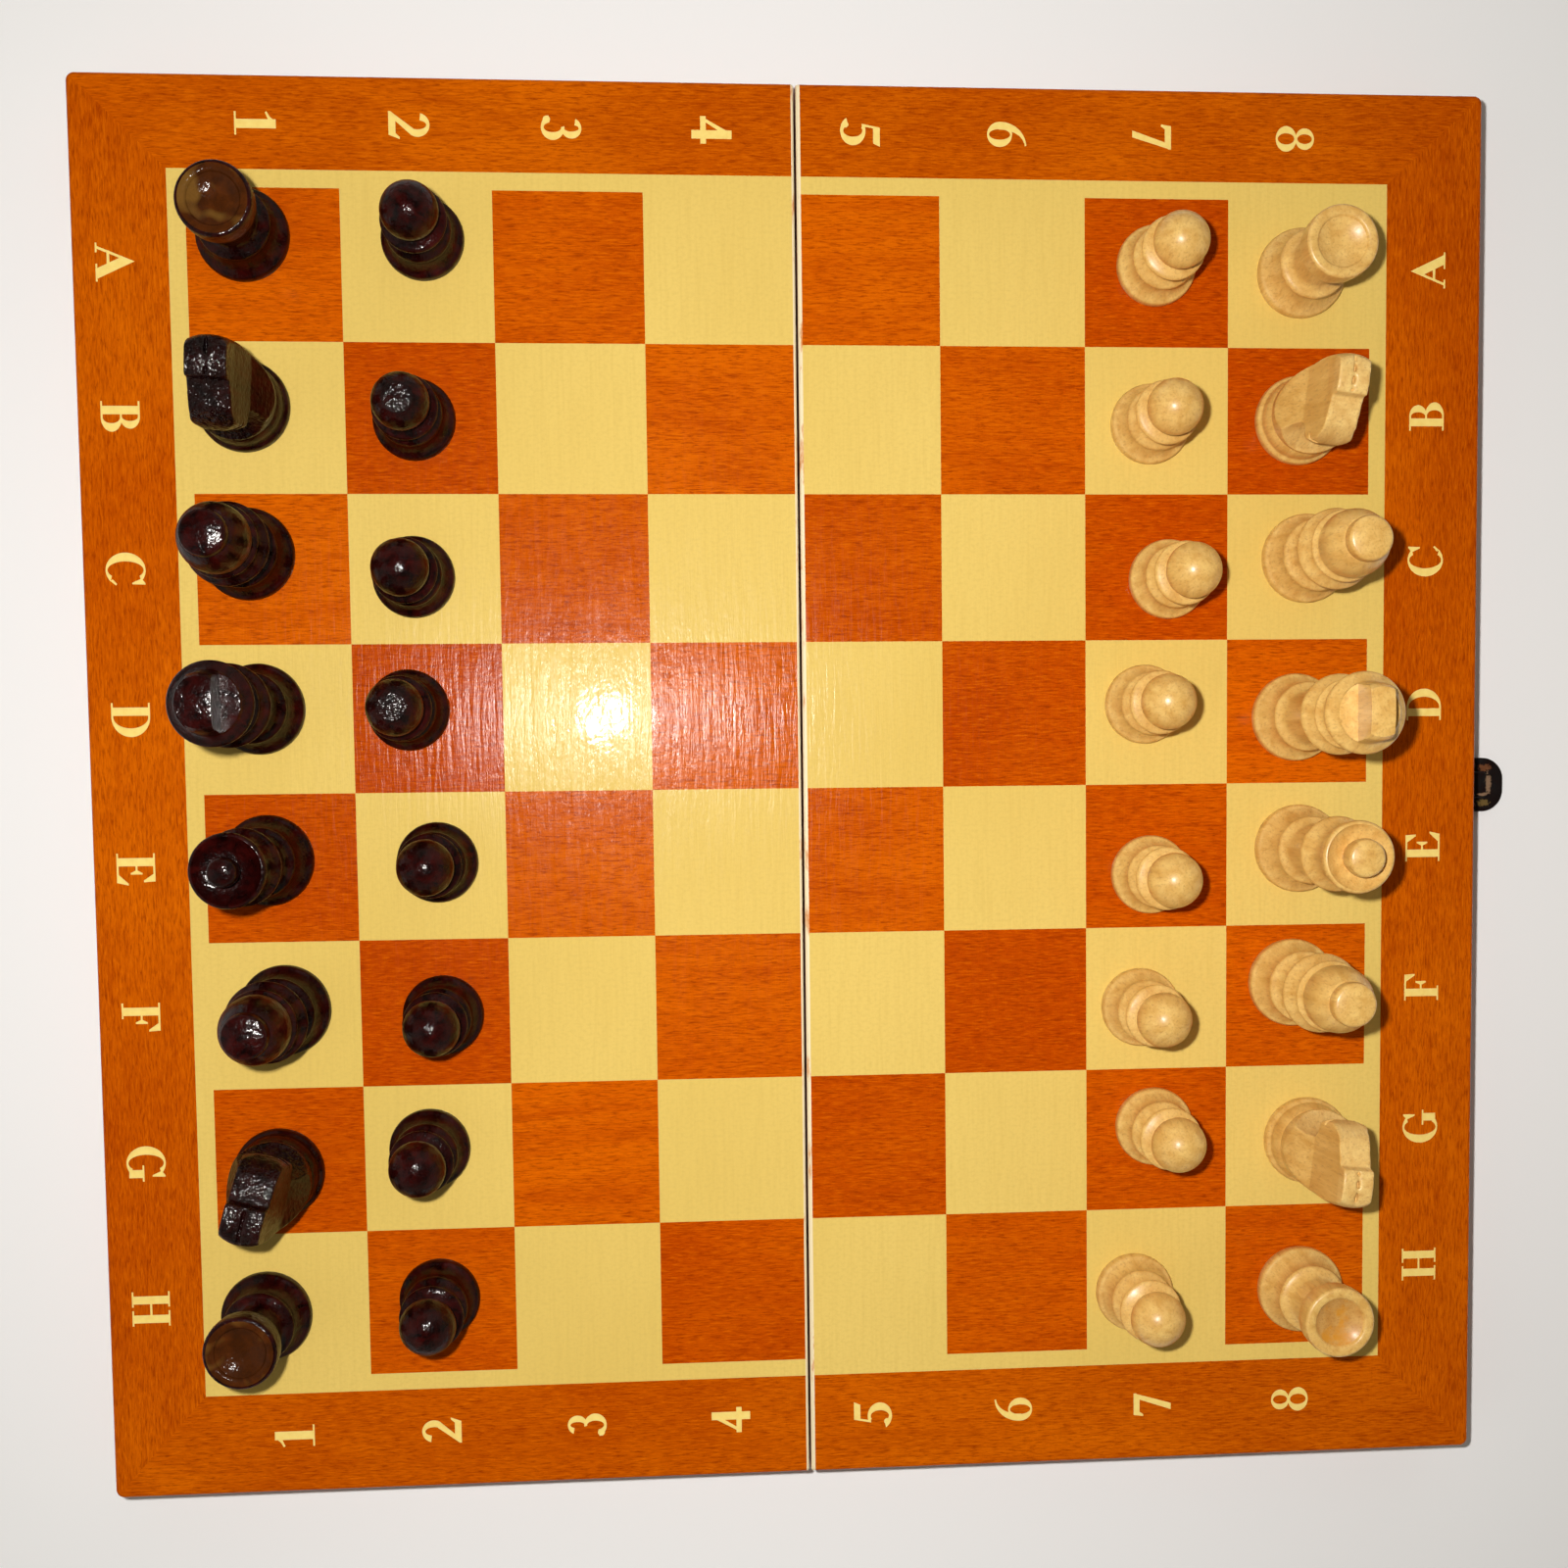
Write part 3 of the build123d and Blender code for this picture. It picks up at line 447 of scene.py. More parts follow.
# ======================= shapes =======================


def new_piece(name, mesh, body, materials, stands_for=(), place=(0, 0, 0)):
    """Puts a mesh in the scene as a piece of the object."""
    piece = bpy.data.objects.new(name, mesh)
    bpy.context.scene.collection.objects.link(piece)
    piece.location = place
    for material in materials:
        mesh.materials.append(material)
    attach(piece, body)
    for node in stands_for:
        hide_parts(node)
    return piece


def smooth_by_angle(mesh, angle):
    """Smooth shading, kept sharp where two faces meet at more than the angle."""
    shaped = bmesh.new()
    shaped.from_mesh(mesh)
    for face in shaped.faces:
        face.smooth = True
    for edge in shaped.edges:
        sharp = len(edge.link_faces) != 2 or edge.calc_face_angle(pi) > angle
        edge.smooth = not sharp
    shaped.to_mesh(mesh)
    shaped.free()


def evaluated_mesh(piece):
    """The piece's mesh with its modifiers applied."""
    graph = bpy.context.evaluated_depsgraph_get()
    return bpy.data.meshes.new_from_object(piece.evaluated_get(graph), depsgraph=graph)


def copy_of_node(node):
    """A free copy of a CAD node's mesh."""
    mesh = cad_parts[node].data.copy()
    mesh.materials.clear()
    return mesh


# ---- board ----


def print_lines(side):
    """Where the print changes, from the outer edge to the seam, and from the bottom to the top."""
    if side < 0:
        across = [LEFT_FIELD - BAND] + [LEFT_FIELD + k * SQUARE for k in range(4)] + [BARE_LEFT]
    else:
        across = [BARE_RIGHT] + [RIGHT_FIELD - k * SQUARE for k in (3, 2, 1, 0)] + [RIGHT_FIELD + BAND]
    up = [FIELD_BOTTOM - BAND] + [FIELD_BOTTOM + k * SQUARE for k in range(9)] + [FIELD_TOP + BAND]
    return across, up


def cut(shaped, faces, point, normal):
    """Splits some of a mesh's faces along a plane."""
    parts = set(faces)
    for face in faces:
        parts.update(face.edges)
        parts.update(face.verts)
    bmesh.ops.bisect_plane(shaped, geom=list(parts), plane_co=point, plane_no=normal, dist=ON_PLANE)


def corner_faces(shaped, side, end):
    """Faces of the border's corner, and the mitre's inner point, in metres."""
    x = (LEFT_FIELD - BAND if side < 0 else RIGHT_FIELD + BAND) * MM
    y = (FIELD_TOP + BAND if end > 0 else FIELD_BOTTOM - BAND) * MM
    faces = [
        face
        for face in shaped.faces
        if face.normal.z > UPWARD
        and side * (face.calc_center_median().x - x) > 0
        and end * (face.calc_center_median().y - y) > 0
    ]
    return faces, Vector((x, y, 0))


def print_index(x, y):
    """Which of the panel's materials a place on the board shows, in millimetres.

    The mitre of the border lies where the shares of its width that x and y have crossed are equal.
    """
    field_left, field_right = LEFT_FIELD - BAND, RIGHT_FIELD + BAND
    if BARE_LEFT < x < BARE_RIGHT:
        return WORN_EDGE
    if field_left < x < field_right and FIELD_BOTTOM - BAND < y < FIELD_TOP + BAND:
        inside = LEFT_FIELD < x < RIGHT_FIELD and FIELD_BOTTOM < y < FIELD_TOP
        column = int((x - LEFT_FIELD) / SQUARE)
        row = int((FIELD_TOP - y) / SQUARE)
        return SQUARES if inside and (row + column) % 2 == 0 else PALE
    if x > 0:
        out_x = max(x - field_right, 0) / (EDGE - field_right)
    else:
        out_x = max(field_left - x, 0) / (EDGE + field_left)
    if y < 0:
        out_y = (FIELD_BOTTOM - BAND - y) / (EDGE + FIELD_BOTTOM - BAND)
    else:
        out_y = (y - FIELD_TOP - BAND) / (EDGE - FIELD_TOP - BAND)
    return UP if out_x > max(out_y, 0) else ACROSS


def make_panel(side, half):
    """The half's playing panel: the CAD shape, split along every line of the print."""
    node = f"{half}_playing_panel"
    mesh = copy_of_node(node)
    shaped = bmesh.new()
    shaped.from_mesh(mesh)
    bmesh.ops.remove_doubles(shaped, verts=shaped.verts, dist=COINCIDE)
    across, up = print_lines(side)
    for x in across:
        cut(shaped, list(shaped.faces), (x * MM, 0, 0), (1, 0, 0))
    for y in up:
        cut(shaped, list(shaped.faces), (0, y * MM, 0), (0, 1, 0))
    for end in (-1, 1):
        faces, inner = corner_faces(shaped, side, end)
        run = Vector((side * EDGE * MM, end * EDGE * MM, 0)) - inner
        cut(shaped, faces, inner, (run.y, -run.x, 0))
    for face in shaped.faces:
        middle = face.calc_center_median() / MM
        top = face.normal.z > UPWARD
        face.material_index = print_index(middle.x, middle.y) if top else UNDERSIDE
    shaped.to_mesh(mesh)
    shaped.free()
    smooth_by_angle(mesh, PANEL_CREASE)
    looks = [PRINT_SQUARE, PRINT_ACROSS, PRINT_UP, PRINT_PALE, BARE, RAIL_UP]
    new_piece(f"{half}_printed_panel", mesh, f"{half}_half", looks, [node])


# ---- lettering: each sign is a few closed outlines in a box one unit high ----


def bar(left, low, right, high):
    return [(left, low), (right, low), (right, high), (left, high)]


def bow(centre, size, side, end, start, stop):
    """A curved stroke: side is its thickness at left and right, end at top and bottom."""
    (x, y), (wide, tall) = centre, size
    turns = [radians(start + (stop - start) * k / BOW_STEPS) for k in range(BOW_STEPS + 1)]
    outer = [(x + wide * cos(t), y + tall * sin(t)) for t in turns]
    inner = [(x + (wide - side) * cos(t), y + (tall - end) * sin(t)) for t in turns]
    return outer + inner[::-1]


def dot(x, y, radius):
    turns = [2 * pi * k / DOT_STEPS for k in range(DOT_STEPS)]
    return [(x + radius * cos(t), y + radius * sin(t)) for t in turns]


def stem(x):
    """A thick upright with serifs at its foot and head."""
    return [bar(x, 0.0, x + 0.22, 1.0), bar(x - 0.12, 0.0, x + 0.30, 0.045),
            bar(x - 0.12, 0.955, x + 0.30, 1.0)]


def signs():
    top_arm = [bar(0.3, 0.95, 0.76, 1.0), [(0.56, 0.96), (0.74, 0.70), (0.79, 0.70), (0.77, 1.0)]]
    middle_arm = [bar(0.3, 0.49, 0.56, 0.54),
                  [(0.46, 0.515), (0.54, 0.36), (0.58, 0.36), (0.58, 0.67), (0.54, 0.67)]]
    round_back = [bow((0.50, 0.5), (0.46, 0.515), 0.23, 0.05, 50, 310),
                  [(0.72, 0.90), (0.83, 0.66), (0.87, 0.66), (0.88, 1.0), (0.84, 1.0)]]
    return {
        "A": [[(0.346, 0.692), (0.47, 1.0), (0.93, 0.03), (0.66, 0.03)],
              [(0.08, 0.03), (0.15, 0.03), (0.43, 0.727), (0.43, 0.9)],
              bar(0.20, 0.29, 0.66, 0.36), bar(0.0, 0.0, 0.25, 0.045), bar(0.54, 0.0, 1.0, 0.045)],
        "B": stem(0.14) + [bow((0.42, 0.745), (0.31, 0.255), 0.2, 0.05, -90, 90),
                           bow((0.44, 0.27), (0.37, 0.27), 0.22, 0.05, -90, 90),
                           bar(0.3, 0.95, 0.43, 1.0), bar(0.3, 0.49, 0.45, 0.54),
                           bar(0.3, 0.0, 0.45, 0.05)],
        "C": round_back + [[(0.78, 0.10), (0.90, 0.24), (0.86, 0.27), (0.74, 0.16)]],
        "D": stem(0.14) + [bow((0.40, 0.5), (0.52, 0.5), 0.23, 0.05, -90, 90),
                           bar(0.3, 0.95, 0.41, 1.0), bar(0.3, 0.0, 0.41, 0.05)],
        "E": stem(0.14) + top_arm + middle_arm + [
            bar(0.3, 0.0, 0.80, 0.05), [(0.58, 0.04), (0.80, 0.0), (0.87, 0.30), (0.82, 0.30)]],
        "F": stem(0.14) + top_arm + middle_arm,
        "G": round_back + [bar(0.68, 0.05, 0.90, 0.44), bar(0.56, 0.40, 1.0, 0.445)],
        "H": stem(0.14) + stem(0.66) + [bar(0.3, 0.475, 0.7, 0.53)],
        "1": [bar(0.24, 0.0, 0.46, 1.0),
              [(0.05, 0.78), (0.08, 0.74), (0.30, 0.84), (0.30, 1.0), (0.42, 1.0)],
              bar(0.06, 0.0, 0.62, 0.045)],
        "2": [bow((0.35, 0.70), (0.29, 0.30), 0.18, 0.08, -36, 165),
              [(0.60, 0.55), (0.44, 0.60), (0.03, 0.05), (0.03, 0.0), (0.24, 0.14)],
              [(0.03, 0.0), (0.60, 0.0), (0.70, 0.27), (0.65, 0.27), (0.56, 0.17), (0.14, 0.17)]],
        "3": [bow((0.31, 0.75), (0.25, 0.25), 0.17, 0.07, -95, 155),
              bow((0.29, 0.29), (0.31, 0.29), 0.19, 0.07, -160, 95), dot(0.10, 0.14, 0.09)],
        "4": [bar(0.36, 0.0, 0.57, 1.0),
              [(0.02, 0.24), (0.10, 0.24), (0.50, 0.88), (0.50, 1.0), (0.44, 1.0)],
              bar(0.02, 0.22, 0.69, 0.36)],
        "5": [[(0.17, 1.0), (0.64, 1.0), (0.56, 0.83), (0.17, 0.83)],
              [(0.17, 1.0), (0.22, 1.0), (0.14, 0.55), (0.08, 0.55)],
              bow((0.25, 0.32), (0.36, 0.32), 0.21, 0.08, -150, 118), dot(0.10, 0.13, 0.08)],
        "6": [bow((0.34, 0.32), (0.31, 0.32), 0.18, 0.05, 0, 360),
              bow((0.64, 0.34), (0.61, 0.66), 0.19, 0.04, 92, 184)],
        "7": [[(0.04, 0.74), (0.09, 0.74), (0.16, 0.84), (0.60, 0.84), (0.66, 0.94), (0.66, 1.0),
               (0.08, 1.0)],
              [(0.66, 0.98), (0.50, 0.88), (0.20, 0.0), (0.37, 0.0)]],
        "8": [bow((0.33, 0.755), (0.27, 0.245), 0.15, 0.055, 0, 360),
              bow((0.33, 0.27), (0.32, 0.27), 0.18, 0.055, 0, 360)],
    }


def add_prism(shaped, outline, low, high):
    """A closed prism over an outline. A ring is passed as its outside followed by its inside."""
    area = sum(a[0] * b[1] - b[0] * a[1] for a, b in zip(outline, outline[1:] + outline[:1]))
    points = outline if area > 0 else outline[::-1]
    first, last = points[0], points[len(points) // 2 - 1]
    closed = hypot(first[0] - last[0], first[1] - last[1]) < COINCIDE
    levels = [[shaped.verts.new((x, y, z)) for x, y in points] for z in (low, high)]
    if closed and len(points) > 2 * BOW_STEPS:
        return add_ring(shaped, levels)
    shaped.faces.new(levels[0][::-1])
    shaped.faces.new(levels[1])
    for k in range(len(points)):
        after = (k + 1) % len(points)
        shaped.faces.new([levels[0][k], levels[0][after], levels[1][after], levels[1][k]])


def add_ring(shaped, levels):
    """A closed ring from two levels of points, each the outside and then the inside turned back."""
    half = len(levels[0]) // 2
    for k in range(half - 1):
        low = [levels[0][k], levels[0][k + 1], levels[0][-k - 2], levels[0][-k - 1]]
        high = [levels[1][k], levels[1][k + 1], levels[1][-k - 2], levels[1][-k - 1]]
        shaped.faces.new(low[::-1])
        shaped.faces.new(high)
        shaped.faces.new([low[0], low[1], high[1], high[0]])
        shaped.faces.new([low[2], low[3], high[3], high[2]])


def prism_object(outlines, low, high):
    """The outlines as prisms in one loose object."""
    mesh = bpy.data.meshes.new("sign")
    shaped = bmesh.new()
    for outline in outlines:
        add_prism(shaped, outline, low, high)
    bmesh.ops.remove_doubles(shaped, verts=shaped.verts, dist=COINCIDE)
    bmesh.ops.recalc_face_normals(shaped, faces=shaped.faces)
    shaped.to_mesh(mesh)
    shaped.free()
    loose = bpy.data.objects.new("sign", mesh)
    bpy.context.scene.collection.objects.link(loose)
    return loose


def sign_mesh(outlines):
    """One sign as a single closed shape."""
    first = prism_object(outlines[:1], -2 * INK, INK)
    rest = prism_object(outlines[1:], -2 * INK, INK)
    union = first.modifiers.new("union", "BOOLEAN")
    union.operation = "UNION"
    union.solver = "EXACT"
    union.use_self = True
    union.object = rest
    mesh = evaluated_mesh(first)
    bpy.data.objects.remove(first)
    bpy.data.objects.remove(rest)
    return mesh


def place_signs():
    """(sign, x, y, height, turn) for the signs on the four borders."""
    places = []
    for k in range(8):
        column = LEFT_FIELD + (k + 0.5) * SQUARE
        row = FIELD_TOP - (k + 0.5) * SQUARE
        for line, shift, height, turn in (TOP_SIGNS, BOTTOM_SIGNS):
            places.append((str(k + 1), column + shift, line, height, turn))
        for line, shift, height, turn in (LEFT_SIGNS, RIGHT_SIGNS):
            places.append((ROWS[k], line, row + shift, height, turn))
    return places


def make_lettering():
    """Each half's signs as one piece. Slivers that the unions leave are dissolved."""
    shapes = {sign: sign_mesh(outlines) for sign, outlines in signs().items()}
    for side, half in ((-1, "left"), (1, "right")):
        joined = bmesh.new()
        for sign, x, y, height, turn in place_signs():
            if side * x < 0:
                continue
            mesh = shapes[sign].copy()
            xs = [v.co.x for v in mesh.vertices]
            middle = Vector(((min(xs) + max(xs)) / 2, 0.5, 0))
            move = (
                Matrix.Translation((x * MM, y * MM, BOARD_TOP * MM))
                @ Matrix.Rotation(radians(turn), 4, "Z")
                @ Matrix.Diagonal((height * MM, height * MM, MM, 1))
                @ Matrix.Translation(-middle)
            )
            mesh.transform(move)
            joined.from_mesh(mesh)
        mesh = bpy.data.meshes.new(f"{half}_lettering")
        bmesh.ops.dissolve_degenerate(joined, edges=joined.edges, dist=ON_PLANE)
        joined.to_mesh(mesh)
        joined.free()
        mesh.validate()
        new_piece(f"{half}_lettering", mesh, f"{half}_half", [INK_PALE])


# ---- men ----

# A man's outline is a list of stations: radius, height, and how far the stretch up to there swells out.
# A negative swelling is a hollow.


def foot(radius):
    """The rounded ring that every turned man stands on."""
    return [(radius - 0.3, 0.0, 0), (radius, 0.5, 0.08), (radius, 2.9, 0.12), (radius - 0.7, 3.6, 0.12),
            (radius - 1.0, 3.9, 0)]


def ball(radius, centre, neck):
    """A ball on a neck, from the neck to the top."""
    low = centre - sqrt(radius**2 - neck**2)
    stretches = [((neck, low), (radius, centre)), ((radius, centre), (0.0, centre + radius))]
    stations = []
    for start, end in stretches:
        half_chord = hypot(end[0] - start[0], end[1] - start[1]) / 2
        stations.append((*end, radius - sqrt(radius**2 - half_chord**2)))
    return [(neck, low, -0.15), *stations]


def tip(radius, low, top):
    """The last stretch: a round dome, or a dish when top is lower than low."""
    rise = abs(top - low)
    sphere = (radius**2 + rise**2) / (2 * rise)
    sagitta = sphere - sqrt(sphere**2 - (radius**2 + rise**2) / 4)
    return (0.0, top, sagitta if top > low else -sagitta)


def pawn():
    return [*foot(9.6), (7.2, 9.4, -0.7), (7.0, 11.6, 0.55), (5.0, 16.6, -0.7), (7.2, 19.2, -0.35),
            (7.1, 20.7, 0.45), *ball(PAWN_HEAD, PAWN_HEAD_Z, PAWN_NECK)]


def worn(stations):
    """A pawn whose head was left with a small rough flat on top."""
    rise = sqrt(PAWN_HEAD**2 - WORN_RADIUS**2)
    low = PAWN_HEAD_Z + rise
    bulge = PAWN_HEAD - sqrt(PAWN_HEAD**2 - (WORN_RADIUS - PAWN_HEAD) ** 2 / 4 - rise**2 / 4)
    return [*stations[:-1], (WORN_RADIUS, low, bulge), tip(WORN_RADIUS, low, low + WORN_DOME)]


def rook():
    return [*foot(10.7), (7.9, 11.4, -1.1), (7.8, 13.2, 0.55), (5.8, 15.2, -0.3), (5.5, 23.8, -0.3),
            (7.8, 27.7, -0.7), (8.3, 28.6, 0.15), (8.4, 33.9, 0.1), (7.6, 34.8, 0.25), (6.3, 34.8, 0),
            (5.7, 34.1, 0.1), tip(5.7, 34.1, 32.6)]


def bishop():
    return [*foot(10.8), (8.3, 11.3, -1.0), (8.2, 13.2, 0.55), (6.6, 15.2, -0.3), (6.4, 20.5, -0.2),
            (9.1, 25.2, -0.7), (9.1, 27.0, 0.45), (7.0, 30.8, -0.35), (8.1, 33.0, -0.2), (8.0, 34.4, 0.4),
            (7.2, 35.4, -0.1), (7.8, 38.6, 0.25), (5.1, 47.4, 0.9), (4.7, 47.7, 0), (5.1, 48.3, 0.08),
            (5.1, 50.9, 0.1), (4.4, 51.9, 0.2), tip(4.4, 51.9, 52.4)]


def queen(knob):
    """knob is the radius of the flattened knob in the middle of the dished crown."""
    return [*foot(10.8), (7.8, 11.5, -1.0), (7.7, 13.3, 0.55), (6.2, 15.5, -0.3), (6.0, 25.5, -0.3),
            (8.4, 31.8, -0.9), (8.4, 34.0, 0.5), (6.6, 37.6, -0.3), (6.9, 42.0, -0.2), (8.2, 47.4, -0.5),
            (8.3, 48.8, 0.15), (7.6, 49.4, 0.15), (knob - 0.8, 47.6, -0.5), (knob - 0.9, 49.0, 0),
            (knob, 51.6, 0.25), (knob - 0.1, 54.0, 0.12), (knob - 0.8, 55.1, 0.22),
            tip(knob - 0.8, 55.1, 55.6)]


def king():
    return [*foot(10.7), (7.9, 11.5, -1.0), (7.8, 13.3, 0.55), (6.3, 15.6, -0.3), (6.1, 28.0, -0.35),
            (8.9, 36.2, -1.1), (8.9, 38.4, 0.5), (6.9, 41.8, -0.3), (7.8, 43.2, -0.1), (7.7, 44.4, 0.35),
            (6.7, 46.0, -0.15), (7.0, 49.6, -0.15), (8.8, 53.8, -0.4), (9.0, 56.0, 0.4), (7.2, 57.8, -0.1),
            (6.9, 59.0, -0.1), (6.4, 63.0, 0.1), (5.5, 67.2, 0.4), tip(5.5, 67.2, 68.0)]


def arc_points(start, end, bulge):
    """Points after start, up to end, on a stretch that swells out by bulge."""
    across, rise = end[0] - start[0], end[1] - start[1]
    chord = hypot(across, rise)
    if abs(bulge) < STRAIGHT:
        return [end]
    radius = (chord**2 / 4 + bulge**2) / (2 * abs(bulge))
    half_turn = asin(min(1.0, chord / (2 * radius)))
    steps = max(2, ceil(2 * half_turn * radius / ARC_STEP), ceil(degrees(2 * half_turn) / ARC_TURN))
    middle = ((start[0] + end[0]) / 2, (start[1] + end[1]) / 2)
    out = (rise / chord, -across / chord)
    if bulge < 0:
        out = (-out[0], -out[1])
    depth = radius - abs(bulge)
    centre = (middle[0] - out[0] * depth, middle[1] - out[1] * depth)
    points = []
    for k in range(1, steps + 1):
        turn = -half_turn + 2 * half_turn * k / steps
        along = radius * sin(turn)
        reach = radius * cos(turn)
        x = centre[0] + out[0] * reach + across / chord * along
        y = centre[1] + out[1] * reach + rise / chord * along
        points.append((max(x, 0.0), y))
    return points[:-1] + [end]


def outline_points(stations):
    """The stations' outline as (radius, height) points, from the axis to the axis."""
    points = [(0.0, 0.0)]
    for radius, height, bulge in stations:
        points += arc_points(points[-1], (radius, height), bulge)
    return points


def turned_mesh(name, stations):
    """A closed turned shape, standing on the origin."""
    points = [(r * MM, z * MM) for r, z in outline_points(stations)]
    shaped = bmesh.new()
    bottom = shaped.verts.new((0, 0, points[0][1]))
    top = shaped.verts.new((0, 0, points[-1][1]))
    turns = [2 * pi * k / SEGMENTS for k in range(SEGMENTS)]
    rings = [[shaped.verts.new((r * cos(t), r * sin(t), z)) for t in turns] for r, z in points[1:-1]]
    for k in range(SEGMENTS):
        after = (k + 1) % SEGMENTS
        shaped.faces.new([bottom, rings[0][after], rings[0][k]])
        shaped.faces.new([top, rings[-1][k], rings[-1][after]])
        for lower, upper in zip(rings, rings[1:]):
            shaped.faces.new([lower[k], lower[after], upper[after], upper[k]])
    mesh = bpy.data.meshes.new(name)
    shaped.to_mesh(mesh)
    shaped.free()
    return mesh


def axis_of(node):
    """Where a man's axis meets the board, in metres."""
    low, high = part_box(node)
    return Vector(((low.x + high.x) / 2, (low.y + high.y) / 2, low.z))


def saw_tongue(mesh):
    """Saws both sides off a king's finial."""
    blank = bpy.data.objects.new("blank", mesh)
    bpy.context.scene.collection.objects.link(blank)
    saws = []
    for side in (-1, 1):
        near, far = sorted((side * KING_TONGUE / 2, side * SAW_REACH))
        outline = bar(near, -SAW_REACH, far, SAW_REACH)
        saw = prism_object([outline], KING_SHOULDER, KING_SHOULDER + SAW_REACH)
        saw.data.transform(Matrix.Scale(MM, 4))
        cutter = blank.modifiers.new("saw", "BOOLEAN")
        cutter.operation = "DIFFERENCE"
        cutter.solver = "EXACT"
        cutter.object = saw
        saws.append(saw)
    sawn = evaluated_mesh(blank)
    for loose in (blank, *saws):
        bpy.data.objects.remove(loose)
    return sawn


def mark_top(mesh, low, radius, index):
    """Gives the faces of a man's top, above low and within radius, another of its materials."""
    for face in mesh.polygons:
        centre = face.center / MM
        if centre.z > low and hypot(centre.x, centre.y) < radius and face.normal.z > UPWARD:
            face.material_index = index


def make_turned(node, stations, tone):
    mesh = turned_mesh(node, stations)
    kind = node.split("_")[1]
    if kind == "king":
        mesh = saw_tongue(mesh)
    looks = [DARK_WOOD, DARK_DISH_AND_REFLECTION, DARK_CUT] if tone == "dark" else [PALE_WOOD, STAINED]
    # dark rooks' dish tops get end grain with painted reflection
    if kind == "rook" and tone == "dark":
        mark_top(mesh, ROOK_DISH, DARK_DISH_RADIUS, ROOK_TOP_LOOK)
    if node == "light_rook_h":
        mark_top(mesh, ROOK_DISH, PALE_DISH_RADIUS, ROOK_TOP_LOOK)
    if node in WORN_PAWNS:
        mark_top(mesh, WORN_TOP, WORN_RADIUS + 0.2, SAWN)
    smooth_by_angle(mesh, TURNED_CREASE)
    new_piece(f"{node}_turned", mesh, f"{node}_man", looks, [node], axis_of(node))


def make_knight(node, tone):
    """The sawn horse's head with its arrises softened as sanding leaves them."""
    mesh = copy_of_node(node)
    axis = axis_of(node)
    mesh.transform(Matrix.Translation(-axis))
    rough = bpy.data.objects.new("rough", mesh)
    bpy.context.scene.collection.objects.link(rough)
    skin = rough.modifiers.new("skin", "REMESH")
    skin.mode = "VOXEL"
    skin.voxel_size = KNIGHT_VOXEL * MM
    soften = rough.modifiers.new("soften", "SMOOTH")
    soften.factor = 0.5
    soften.iterations = 3
    mesh = evaluated_mesh(rough)
    bpy.data.objects.remove(rough)
    smooth_by_angle(mesh, CARVED_CREASE)
    turn = radians(KNIGHT_HEADINGS[node])
    for face in mesh.polygons:
        forward = face.normal.x * cos(turn) + face.normal.y * sin(turn)
        sawn = forward > SAWN_LEAN and face.center.z > KNIGHT_BASE * MM
        face.material_index = 1 if sawn or face.center.z > KNIGHT_EARS * MM else 0
    looks = [DARK_WOOD, DARK_CUT] if tone == "dark" else [PALE_WOOD, PALE_CUT]
    new_piece(f"{node}_carved", mesh, f"{node}_man", looks, [node], axis)


def make_men():
    """A piece for every man of the frame."""
    kinds = {"pawn": pawn(), "rook": rook(), "bishop": bishop(), "queen": queen(4.4), "king": king()}
    for node in sorted(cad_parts):
        tone = node.split("_")[0]
        if tone not in ("dark", "light"):
            continue
        kind = node.split("_")[1]
        if kind == "knight":
            make_knight(node, tone)
        elif node == "dark_queen":
            make_turned(node, queen(3.3), tone)
        elif node in WORN_PAWNS:
            make_turned(node, worn(pawn()), tone)
        else:
            make_turned(node, kinds[kind], tone)


# ---- carried-over CAD nodes ----


def dress(node, material):
    """Gives a CAD node its material."""
    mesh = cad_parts[node].data
    mesh.materials.clear()
    mesh.materials.append(material)


def dress_nodes():
    """Materials for every CAD node that is shown as it is."""
    for half in ("left", "right"):
        for rail in ("outer", "seam"):
            dress(f"{half}_{rail}_rail", RAIL_UP)
        for rail in ("top", "bottom"):
            dress(f"{half}_{rail}_rail", RAIL_ACROSS)
        dress(f"{half}_lining", FELT)
        dress(f"hinge_screws_{half}", BRASS)
        for place in ("top", "bottom"):
            dress(f"{place}_hinge_{half}_leaf", BRASS)
    for place in ("top", "bottom"):
        dress(f"{place}_hinge_pin", STEEL)
    for node in ("latch_plate", "latch_pin", "latch_screws", "catch_knob"):
        dress(node, BRONZE)
    dress("latch_hasp", BRONZE_WITH_PAINTED_HIGHLIGHT)


# ======================= studio =======================


def make_floor():
    mesh = bpy.data.meshes.new("floor")
    reach = FLOOR_REACH
    corners = [(-reach, -reach, 0), (reach, -reach, 0), (reach, reach, 0), (-reach, reach, 0)]
    mesh.from_pydata(corners, [], [(0, 1, 2, 3)])
    mesh.materials.append(floor_material())
    floor = bpy.data.objects.new("floor", mesh)
    bpy.context.scene.collection.objects.link(floor)


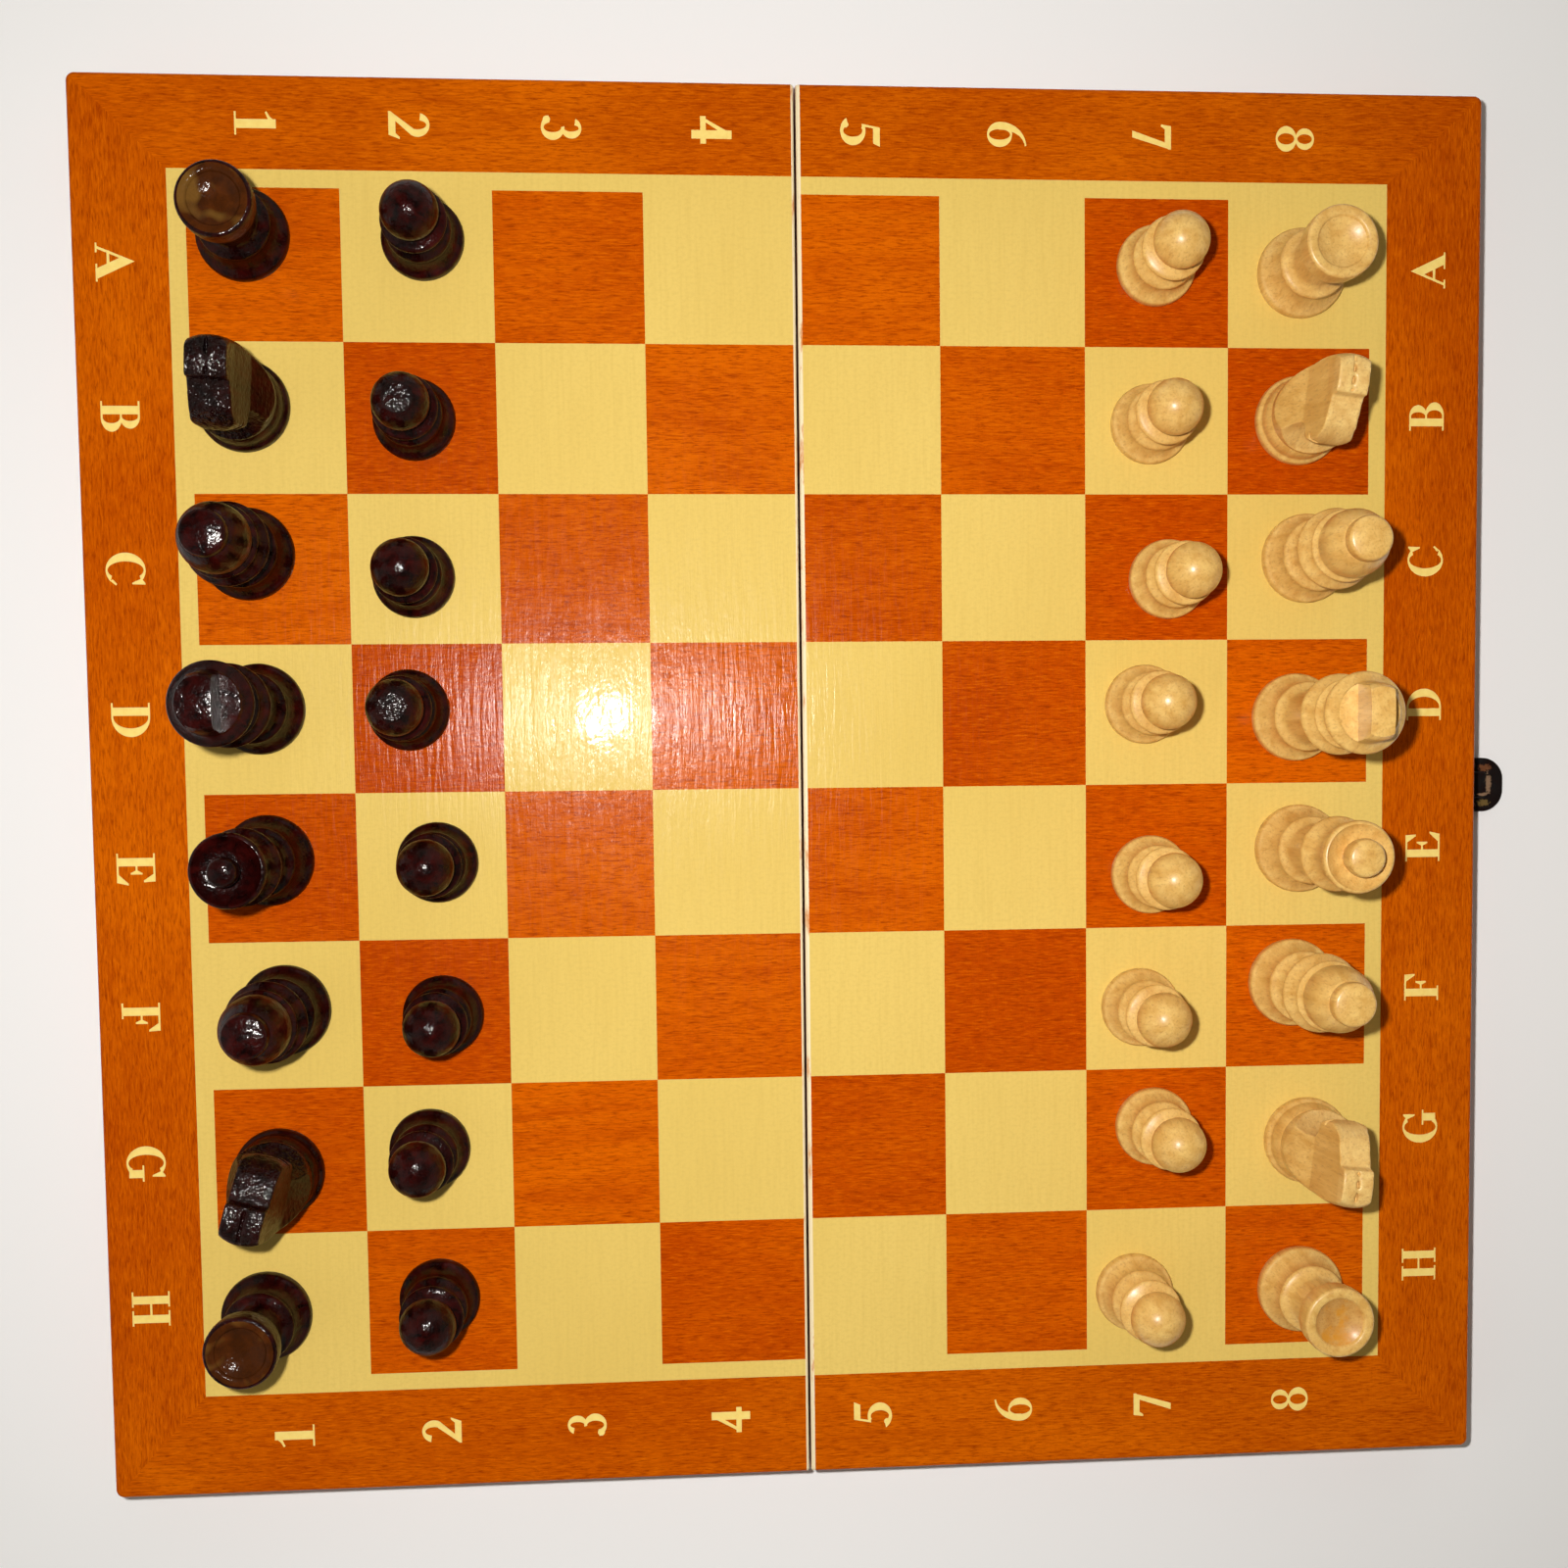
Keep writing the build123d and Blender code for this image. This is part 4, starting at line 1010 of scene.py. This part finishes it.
def make_light(name, place, aim, size, power, colour=(1.0, 1.0, 1.0)):
    data = bpy.data.lights.new(name, "AREA")
    data.shape = "DISK"
    data.size = size
    data.energy = power
    data.color = colour
    light = bpy.data.objects.new(name, data)
    light.location = place
    light.rotation_mode = "QUATERNION"
    light.rotation_quaternion = (Vector(aim) - Vector(place)).to_track_quat("-Z", "Y")
    bpy.context.scene.collection.objects.link(light)


def make_world():
    """A room with pale walls and a dim ceiling, so that the lacquer keeps its colour from above."""
    world = bpy.data.worlds.new("studio")
    world.use_nodes = True
    tree = world.node_tree
    background = tree.nodes["Background"]
    direction = tree.nodes.new("ShaderNodeTexCoord").outputs["Generated"]
    height = tree.nodes.new("ShaderNodeSeparateXYZ")
    ramp = tree.nodes.new("ShaderNodeValToRGB")
    tree.links.new(direction, height.inputs[0])
    tree.links.new(height.outputs["Z"], ramp.inputs["Fac"])
    tree.links.new(ramp.outputs["Color"], background.inputs["Color"])
    wall, ceiling = ramp.color_ramp.elements
    wall.position = 0.25
    wall.color = WALL_LIGHT
    ceiling.position = 0.85
    ceiling.color = CEILING_LIGHT
    background.inputs["Strength"].default_value = ROOM_LIGHT
    bpy.context.scene.world = world


def make_camera():
    data = bpy.data.cameras.new("camera")
    data.lens = LENS
    data.shift_x, data.shift_y = SHIFT
    data.clip_start, data.clip_end = 0.01, 20.0
    camera = bpy.data.objects.new("camera", data)
    camera.location = Vector(CAMERA_PLACE) * MM
    camera.rotation_euler = Euler(CAMERA_TURN, "XYZ").to_matrix().transposed().to_euler()
    bpy.context.scene.collection.objects.link(camera)
    bpy.context.scene.camera = camera


for panel_side, panel_half in ((-1, "left"), (1, "right")):
    make_panel(panel_side, panel_half)
make_lettering()
make_men()
dress_nodes()
make_floor()
make_world()
make_camera()
make_light("key", Vector(KEY_PLACE) * MM, (0, 0, 0.02), KEY_SIZE, KEY_POWER, KEY_COLOUR)
make_light("fill_left", (-1.1, -0.3, 1.0), (0, 0, 0), FILL_SIZE, 0.9)
make_light("fill_back", (0.4, 1.2, 1.0), (0, 0, 0), FILL_SIZE, 0.8)
bpy.context.scene.view_settings.view_transform = "Standard"
